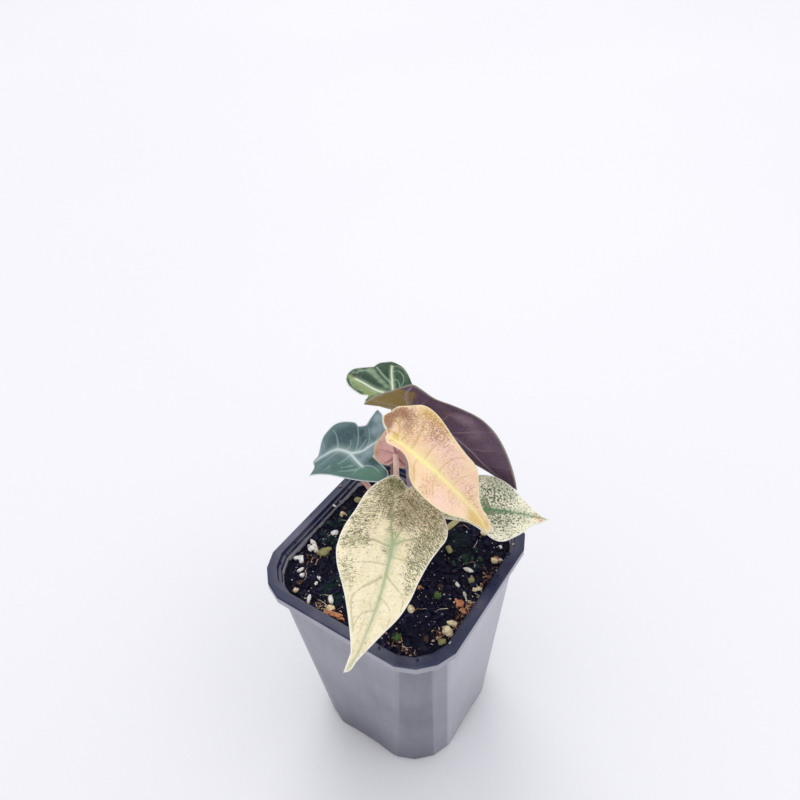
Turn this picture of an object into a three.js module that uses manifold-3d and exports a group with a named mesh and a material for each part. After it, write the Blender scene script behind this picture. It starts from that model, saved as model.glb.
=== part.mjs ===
// Potted young african mask plant: a square nursery pot, its potting mix, and seven
// arrow-shaped leaves on slender stalks that rise from one short upright rootstock.
// Units are millimetres and +Z is up. The origin is on the pot's axis, on the plane it rests on.
// The pot's sides lie along X and Y, and the corner at +X, -Y faces the photograph's viewer.

import * as THREE from 'three';
import { mergeVertices } from 'three/addons/utils/BufferGeometryUtils.js';
import Module from 'manifold-3d';

const manifold = await Module();
manifold.setup();

// Pot
const POT_HEIGHT = 86;
const RIM_HALF = 36;
const RIM_CUT = 13.4;
const RIM_DEPTH = 3;
const RIM_SKIN = 0.9;
const BODY_TOP_HALF = 33.5;
const BODY_TOP_CUT = 11.9;
const BODY_FOOT_HALF = 27.4;
const BODY_FOOT_CUT = 14.5;
const WALL = 1.2;
const FLOOR = 1.6;
const LEDGE_DROP = 1.4;
const CORNER_NEAR = 0.545;
const CORNER_FAR = 0.195;
const ARCH_WIDTH = 25;
const ARCH_HEIGHT = 2.4;
const ARCH_REACH = 6;
const DRAIN_RADIUS = 3;
const DRAIN_PLACE = 12;

// Potting mix
const GAP = 0.3;
const MIX_LEVEL = 81.6;
const MIX_SPOKES = 48;
const MIX_RINGS = 10;
const MIX_ROUGHNESS = 0.9;
const MIX_SEED = 41;
const SMALL_GRAINS = 16;

// Rootstock
const STOCK_X = 0;
const STOCK_Y = 3;
const STOCK_TOP = 84;
const STOCK_FOOT = 60;
const STOCK_RADIUS = 4.6;
const ROOT_COUNT = 5;
const ROOT_LENGTH = 26;
const ROOT_RADIUS = 0.9;

// Leaf stalks
const STALK_BASE_RADIUS = 1.35;
const STALK_TOP_RADIUS = 0.95;
const STALK_RING = 3.05;
const STALK_SIDES = 8;
const STALK_STEPS = 14;
const ELBOW_REACH = 1;
const ELBOW_DEPTH = 2;
const SHEATH_SHARE = 0.3;

// Leaf blades
const BLADE_HALF_THICKNESS = 0.3;
const RIB_HEIGHT = 0.5;
const RIB_WIDTH = 0.9;
const BLADE_RINGS = 5;
const CUP = 0.05;
const LIFT_REACH = 0.24;

const UP = new THREE.Vector3(0, 0, 1);
const radians = THREE.MathUtils.degToRad;

// Each leaf: its stalk's place on the rootstock and the points its stalk passes, the joint of
// stalk and blade, the midrib's direction there (turn from +X, rise), the roll about the midrib,
// the bends along midrib and back lobes, the fold of each half, the extra lift of the halves near
// the base [right, left], and the margin's waves. An outline runs from the back notch round the
// right half to the tip, and on round the left half, in mm along and left of the midrib.
const LEAVES = {
  front_cream: {
    color: 0xe8dcae, seat: -80, seatShare: 1, via: [[2, -3, 98], [7.5, -11, 109]],
    joint: [12, -18, 116], turn: -75, rise: -15, roll: -10, length: 38,
    droop: 20, back: 10, fold: 12, lift: [0, 0], wave: [0.35, 7, 0.6],
    right: [[-18.6, -0.9], [-20.8, -4.1], [-21.3, -6.1], [-19.2, -8.5], [-16.2, -10.6],
      [-11.7, -12.4], [-5.9, -13.4], [-0.1, -14.8], [2.8, -15.1], [5.1, -15], [7.2, -14.7],
      [11, -13.1], [15.4, -10.1], [18.5, -8.1], [24.3, -5], [28.8, -2.9], [32.6, -1.6], [35, -1.6],
      [37.6, -2.1]],
    left: [[37.6, -2.1], [36.4, -0.4], [33.9, 0.5], [31, 2], [25.2, 5.2], [19.5, 8.4], [14, 10.1],
      [9.8, 10.7], [3.3, 12.1], [-1.9, 13.9], [-4.3, 14.8], [-6.6, 14.9], [-9.2, 13.9],
      [-13.5, 11.1], [-19.6, 6.6], [-21.4, 4.5], [-21.6, 2.3], [-18.6, -0.9]],
  },
  center_pink: {
    color: 0xe8b896, seat: -20, seatShare: 1, via: [[3.4, 3.6, 104], [4.2, 3.4, 122]],
    joint: [6, -1, 138], turn: 2, rise: -22, roll: 13, length: 38,
    droop: 45, back: 10, fold: 22, lift: [30, 0], wave: [0.4, 6, 2],
    right: [[-6, -0.1], [-5.6, -2.4], [-4.8, -4.6], [-3.4, -6.6], [-1.3, -5.4], [1.1, -5.3],
      [3.2, -6], [4.9, -7.3], [6.3, -8.9], [8.3, -9.7], [11, -10.4], [13.9, -10.8], [17.6, -10.6],
      [21.3, -9.1], [25.8, -6], [30.3, -3.6], [34.1, -1.9], [38.2, -0.6]],
    left: [[38.2, -0.6], [37.7, 0.8], [36.1, 1.4], [33.5, 1.9], [30.4, 2.3], [27.9, 3.4],
      [25.8, 4.8], [23.2, 6.7], [21.2, 8.3], [18.7, 9.2], [15, 9.6], [9.4, 11], [6, 12.3],
      [3.1, 13.2], [-0.2, 13.5], [-2.6, 12.8], [-5.5, 10.4], [-8.2, 8.2], [-9, 6.3], [-9.9, 4.9],
      [-10, 3.7], [-8.8, 2.1], [-7.4, 1.2], [-6, -0.1]],
  },
  rear_purple: {
    color: 0x5f4b58, seat: 100, seatShare: 1, via: [[0.5, 9, 102], [0.2, 12.5, 119]],
    joint: [-3, 17.5, 134], turn: 37, rise: -36, roll: -60, length: 46,
    droop: 26, back: 10, fold: 3, lift: [0, 0], wave: [0.4, 6, 4],
    right: [[-3.5, 4.1], [-5.5, 5.9], [-7.7, 8], [-9.9, 10], [-11.2, 10.9], [-12.4, 10.1],
      [-12.7, 8.3], [-12.6, 5.7], [-12.5, 1.8], [-12.3, -2.8], [-11.7, -7.2], [-10.7, -10.8],
      [-9.1, -13.9], [-6, -13.5], [-0.1, -12.6], [5.3, -14.4], [14, -15.7], [20.1, -14.3],
      [26.2, -12], [33.6, -8.4], [41.9, -3.2], [46, 0.2]],
    left: [[46, 0.2], [41.6, 3.9], [36.7, 5.8], [31.1, 7.6], [22, 11], [12, 13], [4, 12.5],
      [-0.5, 9], [-3.5, 4.1]],
  },
  left_silver: {
    color: 0x5f7d7b, seat: 220, seatShare: 1, via: [[-8, 4.4, 91.5], [-16.4, 9.2, 97.6], [-20.8, 8.8, 104.4]],
    joint: [-23.1, 8.8, 112.5], turn: 199, rise: -15, roll: -31, length: 22,
    droop: 30, back: 10, fold: 9, lift: [0, 0], wave: [0.25, 6, 1],
    right: [[-8.4, 1.4], [-9.3, -0.3], [-10.7, -1.7], [-12.2, -3.2], [-12.8, -5], [-12.6, -7],
      [-11.8, -8.7], [-11.2, -10.5], [-11, -12.6], [-10, -14], [-8.9, -14.7], [-7.5, -13.1],
      [-6.3, -11.3], [-5.3, -9.6], [-3.6, -9.3], [-2.5, -9.4], [-1.2, -10.7], [1.3, -11.3],
      [4.2, -11.4], [6.8, -10.7], [9.4, -8.9], [11.9, -6.6], [13.3, -3.8], [14.6, -0.8],
      [16.8, 1.2], [15.3, 3.6], [16.6, 6.5]],
    left: [[16.6, 6.5], [11.9, 6.7], [6.9, 7.4], [3.1, 8.3], [-0.7, 9.2], [-4.8, 10], [-8.7, 10.5],
      [-11.8, 10.6], [-13.6, 9.7], [-14.3, 8.1], [-13.6, 6.4], [-11.8, 4.6], [-9.9, 2.9],
      [-8.4, 1.4]],
  },
  back_green: {
    color: 0x2a5a41, seat: 160, seatShare: 1, via: [[-9, 12, 101], [-15, 23.5, 114]],
    joint: [-18.5, 29.5, 124], turn: -23, rise: -15, roll: -8, length: 24,
    droop: 70, back: 12, fold: 5, lift: [0, 0], wave: [0.35, 6, 3],
    right: [[-16.3, 1.7], [-17.2, 0.5], [-18.1, -2.3], [-18.2, -5.3], [-17.1, -7.9], [-15.5, -10.1],
      [-13.7, -11.5], [-11.7, -12], [-9.3, -11.7], [-6.8, -11], [-5.3, -10.5], [-4.4, -8.9],
      [-3.6, -9.3], [-2.9, -10.6], [-1.5, -11], [-0.2, -7.8], [1.7, -3.9], [3.9, -3.2], [6.4, -5],
      [9, -6.6], [12, -7.6], [15.4, -7.2], [18.6, -5], [21.3, -1]],
    left: [[21.3, -1], [20, 3.5], [16.9, 7.3], [12.6, 9.5], [7.3, 9.9], [2.1, 9.6], [-1.6, 9],
      [-4.7, 9.8], [-8, 10.7], [-10.9, 11.1], [-13.1, 10.8], [-14.6, 10.1], [-15.5, 9], [-16, 6.9],
      [-16.7, 4.4], [-16.3, 1.7]],
  },
  right_speckled: {
    color: 0xd9d6b4, seat: 40, seatShare: 1, via: [[6.6, 9, 87.6], [12, 12.6, 92]],
    joint: [18.5, 13.5, 104], turn: 28, rise: 2, roll: 17, length: 28,
    droop: 28, back: 10, fold: 16, lift: [0, 0], wave: [0.3, 6, 5],
    right: [[-5.5, 0.2], [-8, -1.4], [-7, -3.4], [-3, -4.2], [0.6, -4.8], [3.5, -6.7], [6, -9],
      [8, -10.9], [10.2, -11.6], [12.1, -11.2], [15.1, -9.4], [18.4, -6.8], [21.1, -4], [24.5, -2],
      [28.2, 0.3]],
    left: [[28.2, 0.3], [25.3, 0.6], [23, 1.7], [19.3, 4.7], [16.7, 7.1], [13.3, 9.5], [9.7, 11.1],
      [6.2, 11.8], [2.5, 11.7], [-3.2, 10.1], [-8, 7], [-9.6, 3.6], [-8.6, 1.4], [-5.5, 0.2]],
  },
  young_pink: {
    color: 0xc98a86, seat: 0, seatShare: 0, via: [[-2, 6, 102], [-4.2, 8, 111]],
    joint: [-6.5, 11.5, 118], turn: -54, rise: 95, roll: 0, length: 12.5,
    droop: -10, back: 14, fold: 5, lift: [0, 0], wave: [0.15, 5, 0],
    right: [[-2.6, -0.4], [-4.2, -2.6], [-3.1, -5.2], [-1.2, -6.8], [1.3, -7], [3.7, -6.6],
      [8, -3.8], [12.5, -0.6]],
    left: [[12.5, -0.6], [8.5, 3.2], [4, 5.2], [-1.1, 5], [-4.4, 4.1], [-5.8, 2.5], [-5, 0.6],
      [-2.6, -0.4]],
  },
};

// Grains and chips that lie on the mix in the photograph: place, length, width, height, turn.
const CHIPS = [
  [-27.8, -11.1, 6.5, 2, 1.8, -35], [-28.2, -12.5, 3.3, 1.7, 1.4, -35],
  [-25, -2.9, 2.4, 2.2, 1.6, 55], [-23, -11, 5.4, 3.3, 2.6, 50], [-28.4, -17.5, 4, 1.8, 1.4, -45],
  [-25.5, -21.4, 2.5, 1.3, 1.2, 65], [-23.7, -22.6, 2.1, 1.6, 1.3, 55],
  [-17.8, -20.7, 2.6, 1.1, 1.1, -20], [-15.5, -29.1, 3.7, 1.3, 1.3, -60],
  [-9.3, -25.5, 3.4, 1.7, 1.5, -45], [-7.5, -28.3, 3.1, 2, 1.8, 40],
  [-4.6, -29.6, 6.6, 1.7, 1.4, 10], [13.3, 11.8, 3.6, 2, 1.8, -45], [23, 7.9, 3.5, 1.6, 1.4, 5],
  [29.4, 17.6, 2.8, 1.4, 1.3, 25], [28.4, 15.8, 2.5, 2, 1.8, 10], [29.2, 17.4, 2.9, 2.1, 1.8, -40],
  [22.4, 1.4, 2.6, 1.2, 1.1, -25], [26, 4.6, 2.2, 2.1, 1.7, -15], [19.6, -6.2, 2.7, 2.7, 2, 0],
  [26.7, -4.9, 5.6, 3.4, 3.2, -35], [27, -1.4, 3.5, 1.1, 1.1, -45], [15.1, -15, 2.2, 2.2, 1.8, 0],
  [29.4, 2.6, 3.1, 1.5, 1.4, 50], [28.4, -12.3, 3.3, 1.7, 1.6, 20], [28.9, -15.6, 3.2, 3.2, 2.6, 0],
  [16.8, -25.8, 3, 2.7, 1.8, 20], [29.4, -19.6, 2.7, 2.1, 1.5, 55],
  [-29.7, -17.9, 2.4, 1.8, 1.4, 65], [-21.3, -28.9, 2.2, 1.5, 1.4, 65],
  [29, -6.3, 4.2, 1.3, 1.2, -40], [-27.6, 5.4, 2.6, 2, 1.7, 0], [-27.4, 14.4, 2.9, 2.4, 2, 0],
  [-25.4, 20, 3.6, 2.2, 1.8, 40], [-17, 25, 2.3, 1.8, 1.5, 0], [-4, 27, 3, 1.4, 1.2, 15],
  [9, 25.6, 3.8, 2.4, 1.9, 70], [20, 24.4, 2.4, 1.9, 1.6, 10], [27.4, 22, 2, 1.6, 1.4, 30],
];

// One fixed stream of numbers from 0 to 1 for each seed.
function seededRandom(seed) {
  let state = seed;
  return () => {
    state = (state * 1664525 + 1013904223) % 4294967296;
    return state / 4294967296;
  };
}

// A square of half width `half` whose corners are cut by three flat facets, at height z.
function squareRing(half, cut, z) {
  const near = half - cut * CORNER_NEAR;
  const far = half - cut * CORNER_FAR;
  const corner = [[half, half - cut], [far, near], [near, far], [half - cut, half]];
  const ring = [];
  for (let quarter = 0; quarter < 4; quarter += 1) {
    const turn = quarter * Math.PI / 2;
    for (const [x, y] of corner) {
      const turned = new THREE.Vector2(x, y).rotateAround(new THREE.Vector2(), turn);
      ring.push(new THREE.Vector3(turned.x, turned.y, z));
    }
  }
  return ring;
}

// A closed skin over rings of equal point count, with a fan to a point at each end.
function skin(rings, start, end) {
  const count = rings[0].length;
  const points = [start, ...rings.flat(), end];
  const last = points.length - 1;
  const at = (ring, spoke) => 1 + ring * count + (spoke % count);
  const index = [];
  for (let spoke = 0; spoke < count; spoke += 1) {
    index.push(0, at(0, spoke + 1), at(0, spoke));
    for (let ring = 0; ring + 1 < rings.length; ring += 1) {
      const a = at(ring, spoke);
      const b = at(ring, spoke + 1);
      const c = at(ring + 1, spoke + 1);
      const d = at(ring + 1, spoke);
      index.push(a, b, c, a, c, d);
    }
    index.push(last, at(rings.length - 1, spoke), at(rings.length - 1, spoke + 1));
  }
  const geometry = new THREE.BufferGeometry().setFromPoints(points);
  geometry.setIndex(index);
  return geometry;
}

function toSolid(geometry) {
  const bare = geometry.clone();
  bare.deleteAttribute('normal');
  bare.deleteAttribute('uv');
  const merged = mergeVertices(bare, 1e-4);
  return new manifold.Manifold(new manifold.Mesh({
    numProp: 3,
    vertProperties: new Float32Array(merged.attributes.position.array),
    triVerts: new Uint32Array(merged.index.array),
  }));
}

function fromSolid(solid) {
  const mesh = solid.getMesh();
  const geometry = new THREE.BufferGeometry();
  geometry.setAttribute('position', new THREE.BufferAttribute(mesh.vertProperties, 3));
  geometry.setIndex(new THREE.BufferAttribute(mesh.triVerts, 1));
  return geometry;
}

function namedMesh(name, geometry, color, roughness) {
  geometry.computeVertexNormals();
  const material = new THREE.MeshStandardMaterial({ color, roughness, metalness: 0 });
  const mesh = new THREE.Mesh(geometry, material);
  mesh.name = name;
  return mesh;
}

// Half width and corner cut of the body's outer face at a height.
function bodyAt(z) {
  const share = z / (POT_HEIGHT - 1);
  return {
    half: THREE.MathUtils.lerp(BODY_FOOT_HALF, BODY_TOP_HALF, share),
    cut: THREE.MathUtils.lerp(BODY_FOOT_CUT, BODY_TOP_CUT, share),
  };
}

function potShell() {
  const under = POT_HEIGHT - RIM_SKIN;
  const skirt = POT_HEIGHT - RIM_DEPTH;
  const ledge = POT_HEIGHT - LEDGE_DROP;
  const body = bodyAt(under);
  const rings = [
    squareRing(BODY_FOOT_HALF - 0.7, BODY_FOOT_CUT - 0.4, 0),
    squareRing(BODY_FOOT_HALF, BODY_FOOT_CUT, 0.9),
    squareRing(body.half, body.cut, under),
    squareRing(RIM_HALF - RIM_SKIN, RIM_CUT - 0.5, under),
    squareRing(RIM_HALF - RIM_SKIN, RIM_CUT - 0.5, skirt),
    squareRing(RIM_HALF, RIM_CUT, skirt),
    squareRing(RIM_HALF, RIM_CUT, POT_HEIGHT - 0.4),
    squareRing(RIM_HALF - 0.4, RIM_CUT - 0.2, POT_HEIGHT),
    squareRing(RIM_HALF - 3, RIM_CUT - 1.8, POT_HEIGHT),
    squareRing(RIM_HALF - 3.2, RIM_CUT - 1.9, ledge),
    squareRing(BODY_TOP_HALF - WALL - 0.4, BODY_TOP_CUT - 0.9, ledge),
    squareRing(BODY_FOOT_HALF - WALL, BODY_FOOT_CUT - 0.7, FLOOR),
  ];
  return skin(rings, new THREE.Vector3(0, 0, 0), new THREE.Vector3(0, 0, FLOOR));
}

// The low arch cut through the foot of one side, which also drains the pot.
function archCutter(quarter) {
  const outline = new THREE.Shape();
  outline.moveTo(-ARCH_WIDTH / 2, -1);
  outline.lineTo(ARCH_WIDTH / 2, -1);
  outline.lineTo(ARCH_WIDTH / 2, 0);
  outline.quadraticCurveTo(ARCH_WIDTH / 4, ARCH_HEIGHT, 0, ARCH_HEIGHT);
  outline.quadraticCurveTo(-ARCH_WIDTH / 4, ARCH_HEIGHT, -ARCH_WIDTH / 2, 0);
  outline.closePath();
  const geometry = new THREE.ExtrudeGeometry(outline, {
    depth: ARCH_REACH + 2, bevelEnabled: false, curveSegments: 6,
  });
  geometry.rotateX(Math.PI / 2);
  geometry.translate(0, BODY_FOOT_HALF + 2, 0);
  geometry.rotateZ(quarter * Math.PI / 2);
  return geometry;
}

function potGeometry() {
  let pot = toSolid(potShell());
  for (let quarter = 0; quarter < 4; quarter += 1) {
    pot = pot.subtract(toSolid(archCutter(quarter)));
    const drain = new THREE.CylinderGeometry(DRAIN_RADIUS, DRAIN_RADIUS, 8, 16);
    drain.rotateX(Math.PI / 2);
    const sideX = quarter === 0 || quarter === 3 ? 1 : -1;
    const sideY = quarter < 2 ? 1 : -1;
    drain.translate(sideX * DRAIN_PLACE, sideY * DRAIN_PLACE, 0);
    pot = pot.subtract(toSolid(drain));
  }
  return fromSolid(pot);
}

// Where the ray at an angle from the axis meets a closed ring of points.
function ringRadius(ring, angle) {
  const direction = new THREE.Vector2(Math.cos(angle), Math.sin(angle));
  for (let i = 0; i < ring.length; i += 1) {
    const a = ring[i];
    const b = ring[(i + 1) % ring.length];
    const edge = new THREE.Vector2(b.x - a.x, b.y - a.y);
    const across = direction.x * edge.y - direction.y * edge.x;
    const along = (a.x * edge.y - a.y * edge.x) / across;
    const place = (a.x * direction.y - a.y * direction.x) / across;
    if (across !== 0 && along > 0 && place >= 0 && place <= 1) {
      return along;
    }
  }
  throw new Error('the ray misses the ring');
}

// Uneven height of the mix: slow swells, with finer lumps on them and a low mound at the stock.
function mixRelief(x, y) {
  const swell = Math.sin(x * 0.21 + 1.3) * Math.cos(y * 0.17 - 0.4);
  const lump = Math.sin(x * 0.83 + y * 0.31) * Math.sin(y * 0.77 - x * 0.22 + 2);
  const mound = Math.exp(-((x - STOCK_X) ** 2 + (y - STOCK_Y) ** 2) / 150);
  return MIX_ROUGHNESS * (0.5 * swell + 0.45 * lump) + 1.2 * mound;
}

function mixBody() {
  const top = bodyAt(MIX_LEVEL);
  const foot = bodyAt(FLOOR);
  const topRing = squareRing(top.half - WALL - 0.4 - GAP, top.cut - 1.1, 0);
  const footRing = squareRing(foot.half - WALL - GAP - 0.1, foot.cut - 0.9, 0);
  const floorLevel = FLOOR + GAP;
  const rings = [[]];
  for (let spoke = 0; spoke < MIX_SPOKES; spoke += 1) {
    const angle = spoke / MIX_SPOKES * Math.PI * 2;
    const reach = ringRadius(footRing, angle);
    rings[0].push(new THREE.Vector3(Math.cos(angle) * reach, Math.sin(angle) * reach, floorLevel));
  }
  for (let ring = MIX_RINGS; ring > 0; ring -= 1) {
    const share = ring / MIX_RINGS;
    const points = [];
    for (let spoke = 0; spoke < MIX_SPOKES; spoke += 1) {
      const angle = spoke / MIX_SPOKES * Math.PI * 2;
      const reach = ringRadius(topRing, angle) * share;
      const x = Math.cos(angle) * reach;
      const y = Math.sin(angle) * reach;
      points.push(new THREE.Vector3(x, y, MIX_LEVEL + mixRelief(x, y)));
    }
    rings.push(points);
  }
  const middle = new THREE.Vector3(0, 0, MIX_LEVEL + mixRelief(0, 0));
  return skin(rings, new THREE.Vector3(0, 0, floorLevel), middle);
}

// One grain, sunk halfway into the mix.
function grain(x, y, length, width, height, turn, tilt) {
  const geometry = new THREE.IcosahedronGeometry(0.5, 0);
  geometry.scale(length, width, height);
  geometry.rotateX(tilt);
  geometry.rotateZ(radians(turn));
  geometry.translate(x, y, MIX_LEVEL + mixRelief(x, y) + height * 0.18);
  return geometry;
}

// A round tube along a curve with a radius that changes by share of its length.
function tube(curve, radiusAt, sides, steps) {
  const frames = curve.computeFrenetFrames(steps, false);
  const rings = [];
  for (let step = 0; step <= steps; step += 1) {
    const share = step / steps;
    const middle = curve.getPointAt(share);
    const points = [];
    for (let side = 0; side < sides; side += 1) {
      const angle = side / sides * Math.PI * 2;
      const out = frames.normals[step].clone().multiplyScalar(Math.cos(angle));
      out.addScaledVector(frames.binormals[step], Math.sin(angle));
      points.push(middle.clone().addScaledVector(out, radiusAt(share)));
    }
    rings.push(points);
  }
  return skin(rings, curve.getPointAt(0), curve.getPointAt(1));
}

// The roots spread from the lower stock and grow down into the mix.
function rootCurve(number) {
  const angle = (number + 0.3) / ROOT_COUNT * Math.PI * 2;
  const out = new THREE.Vector3(Math.cos(angle), Math.sin(angle), 0);
  const start = new THREE.Vector3(STOCK_X, STOCK_Y, STOCK_FOOT + 6).addScaledVector(out, 2);
  return new THREE.CatmullRomCurve3([
    start,
    start.clone().addScaledVector(out, 5).add(new THREE.Vector3(0, 0, -5)),
    start.clone().addScaledVector(out, 10).add(new THREE.Vector3(0, 0, -15)),
    start.clone().addScaledVector(out, 12).add(new THREE.Vector3(0, 0, -ROOT_LENGTH)),
  ]);
}

function rootTube(number, extra) {
  const radiusAt = (share) => ROOT_RADIUS * (1 - 0.55 * share) + extra;
  return tube(rootCurve(number), radiusAt, 6, 6);
}

// The short upright stock, ringed by old leaf scars.
function stockProfile(extra) {
  const profile = [[0, STOCK_FOOT], [2.4, STOCK_FOOT + 0.8], [4, STOCK_FOOT + 5], [4.5, 70],
    [4.2, 71], [4.6, 75], [4.2, 76], [STOCK_RADIUS, 80], [4.3, 81], [STOCK_RADIUS, 83.4],
    [4.4, STOCK_TOP], [0, STOCK_TOP]];
  return profile.map(([r, z]) => new THREE.Vector2(r > 0 ? r + extra : 0, z));
}

function stockLathe(extra, rise) {
  const profile = stockProfile(extra);
  profile[0].y -= extra;
  profile[profile.length - 1].y += rise;
  profile[profile.length - 2].y += rise;
  const geometry = new THREE.LatheGeometry(profile, 14);
  geometry.rotateX(Math.PI / 2);
  geometry.translate(STOCK_X, STOCK_Y, 0);
  return geometry;
}

function stockGeometry() {
  let stock = toSolid(stockLathe(0, 0));
  for (let number = 0; number < ROOT_COUNT; number += 1) {
    stock = stock.add(toSolid(rootTube(number, 0)));
  }
  return fromSolid(stock);
}

function mixGeometry() {
  let mix = toSolid(mixBody());
  for (const [x, y, length, width, height, turn] of CHIPS) {
    mix = mix.add(toSolid(grain(x, y, length, width, height, turn, 0)));
  }
  const random = seededRandom(MIX_SEED);
  for (let count = 0; count < SMALL_GRAINS; count += 1) {
    const angle = random() * Math.PI * 2;
    const reach = 9 + random() * 19;
    const size = 1.8 + random() * 1.8;
    const x = Math.cos(angle) * reach;
    const y = Math.sin(angle) * reach;
    mix = mix.add(toSolid(grain(x, y, size, size * 0.7, size * 0.7, random() * 180, random())));
  }
  mix = mix.subtract(toSolid(stockLathe(GAP, 6)));
  for (let number = 0; number < ROOT_COUNT; number += 1) {
    mix = mix.subtract(toSolid(rootTube(number, GAP)));
  }
  return fromSolid(mix);
}

// Midrib direction, sideways direction to the left, and upper face direction at the joint.
function bladeFrame(leaf) {
  const turn = radians(leaf.turn);
  const rise = radians(leaf.rise);
  const along = new THREE.Vector3(
    Math.cos(turn) * Math.cos(rise),
    Math.sin(turn) * Math.cos(rise),
    Math.sin(rise),
  );
  const left = new THREE.Vector3(-Math.sin(turn), Math.cos(turn), 0);
  left.applyAxisAngle(along, radians(leaf.roll));
  const face = new THREE.Vector3().crossVectors(along, left);
  return { along, left, face };
}

// How much a half is folded up at a place: the fold, and a lift that fades out past the base.
function foldAt(leaf, x, y) {
  const lift = y < 0 ? leaf.lift[0] : leaf.lift[1];
  const fade = 1 - THREE.MathUtils.smoothstep(x, 0, leaf.length * LIFT_REACH);
  return radians(leaf.fold + lift * fade);
}

// The blade's middle surface: x along the midrib, y to its left, wave is the margin's offset.
function bladePoint(leaf, frame, x, y, wave) {
  const bend = radians(x >= 0 ? leaf.droop : leaf.back) / leaf.length;
  const angle = bend * Math.abs(x);
  const side = Math.sign(x);
  const ahead = Math.abs(bend) < 1e-9 ? x : side * Math.sin(angle) / bend;
  const drop = Math.abs(bend) < 1e-9 ? 0 : (1 - Math.cos(angle)) / bend;
  const face = frame.along.clone().multiplyScalar(side * Math.sin(angle));
  face.addScaledVector(frame.face, Math.cos(angle));
  const fold = foldAt(leaf, x, y);
  const height = (Math.hypot(y, 1) - 1) * Math.sin(fold) - CUP * y * y / leaf.length + wave;
  return new THREE.Vector3(...leaf.joint)
    .addScaledVector(frame.along, ahead)
    .addScaledVector(frame.face, -drop)
    .addScaledVector(frame.left, y * Math.cos(fold))
    .addScaledVector(face, height);
}

// The rib that stands out on the lower face along the midrib and thins to the tip.
function ribAt(leaf, x, y) {
  const taper = THREE.MathUtils.clamp(1 - Math.abs(x) / leaf.length, 0.15, 1);
  return RIB_HEIGHT * taper * Math.exp(-((y / RIB_WIDTH) ** 2));
}

function bladeOutline(leaf) {
  const half = (points) => {
    const bends = points.map(([x, y]) => new THREE.Vector3(x, y, 0));
    const curve = new THREE.CatmullRomCurve3(bends, false, 'centripetal');
    const outline = [];
    for (let i = 0; i < points.length - 1; i += 1) {
      outline.push(curve.getPoint(i / (points.length - 1)));
      outline.push(curve.getPoint((i + 0.5) / (points.length - 1)));
    }
    return outline;
  };
  return [...half(leaf.right), ...half(leaf.left)];
}

function bladeGeometry(leaf) {
  const frame = bladeFrame(leaf);
  const outline = bladeOutline(leaf);
  const [waveHeight, waveCount, wavePhase] = leaf.wave;
  const step = 0.05;
  const place = (x, y, share, spoke) => {
    const phase = spoke / outline.length * Math.PI * 2 * waveCount + wavePhase;
    return bladePoint(leaf, frame, x, y, waveHeight * share ** 3 * Math.sin(phase));
  };
  const faces = (share, spoke) => {
    const edge = outline[spoke];
    const x = edge.x * share;
    const y = edge.y * share;
    const middle = place(x, y, share, spoke);
    const ahead = place(x + step, y, share, spoke).sub(middle);
    const aside = place(x, y + step, share, spoke).sub(middle);
    const normal = ahead.cross(aside).normalize();
    const lower = BLADE_HALF_THICKNESS + ribAt(leaf, x, y) * (1 - share ** 4);
    return {
      upper: middle.clone().addScaledVector(normal, BLADE_HALF_THICKNESS),
      lower: middle.clone().addScaledVector(normal, -lower),
    };
  };
  const rings = [];
  for (let ring = 1; ring <= BLADE_RINGS; ring += 1) {
    const share = (ring / BLADE_RINGS) ** 0.85;
    rings.push(outline.map((_, spoke) => faces(share, spoke)));
  }
  const middle = faces(0, 0);
  const uppers = rings.map((ring) => ring.map((pair) => pair.upper));
  const lowers = rings.map((ring) => ring.map((pair) => pair.lower));
  return skin([...lowers, ...uppers.reverse()], middle.lower, middle.upper);
}

// Where a leaf's stalk stands on top of the stock.
function stalkSeat(leaf) {
  const angle = radians(leaf.seat);
  const reach = STALK_RING * leaf.seatShare;
  return new THREE.Vector3(
    STOCK_X + Math.cos(angle) * reach,
    STOCK_Y + Math.sin(angle) * reach,
    STOCK_TOP + GAP,
  );
}

function stalkGeometry(leaf) {
  const { face } = bladeFrame(leaf);
  const seat = stalkSeat(leaf);
  const joint = new THREE.Vector3(...leaf.joint);
  const clear = BLADE_HALF_THICKNESS + RIB_HEIGHT + GAP + 0.05;
  const aside = new THREE.Vector3(...leaf.via.at(-1)).sub(joint).projectOnPlane(face);
  aside.setLength(ELBOW_REACH);
  const curve = new THREE.CatmullRomCurve3([
    seat,
    seat.clone().addScaledVector(UP, 4),
    ...leaf.via.map((point) => new THREE.Vector3(...point)),
    joint.clone().addScaledVector(face, -clear - ELBOW_DEPTH).add(aside),
    joint.clone().addScaledVector(face, -clear),
  ], false, 'centripetal');
  const radiusAt = (share) => {
    const past = THREE.MathUtils.smoothstep(share, 0, SHEATH_SHARE);
    return THREE.MathUtils.lerp(STALK_BASE_RADIUS, STALK_TOP_RADIUS, past);
  };
  return tube(curve, radiusAt, STALK_SIDES, STALK_STEPS);
}

const plant = new THREE.Group();
plant.add(namedMesh('pot', potGeometry(), 0x3a3a4c, 0.42));
plant.add(namedMesh('soil', mixGeometry(), 0x17161f, 0.95));
plant.add(namedMesh('rootstock', stockGeometry(), 0x8c7a5c, 0.7));
for (const [name, leaf] of Object.entries(LEAVES)) {
  plant.add(namedMesh(`stalk_${name}`, stalkGeometry(leaf), 0xd9b79a, 0.45));
  plant.add(namedMesh(`blade_${name}`, bladeGeometry(leaf), leaf.color, 0.5));
}

export default plant;
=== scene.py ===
"""A young african mask plant in a square nursery pot, with its stage, lights and camera."""

import math
import random

import bpy
import numpy as np
from bpy.props import FloatProperty, FloatVectorProperty, IntProperty, PointerProperty
from mathutils import Matrix, Vector, noise


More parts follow.
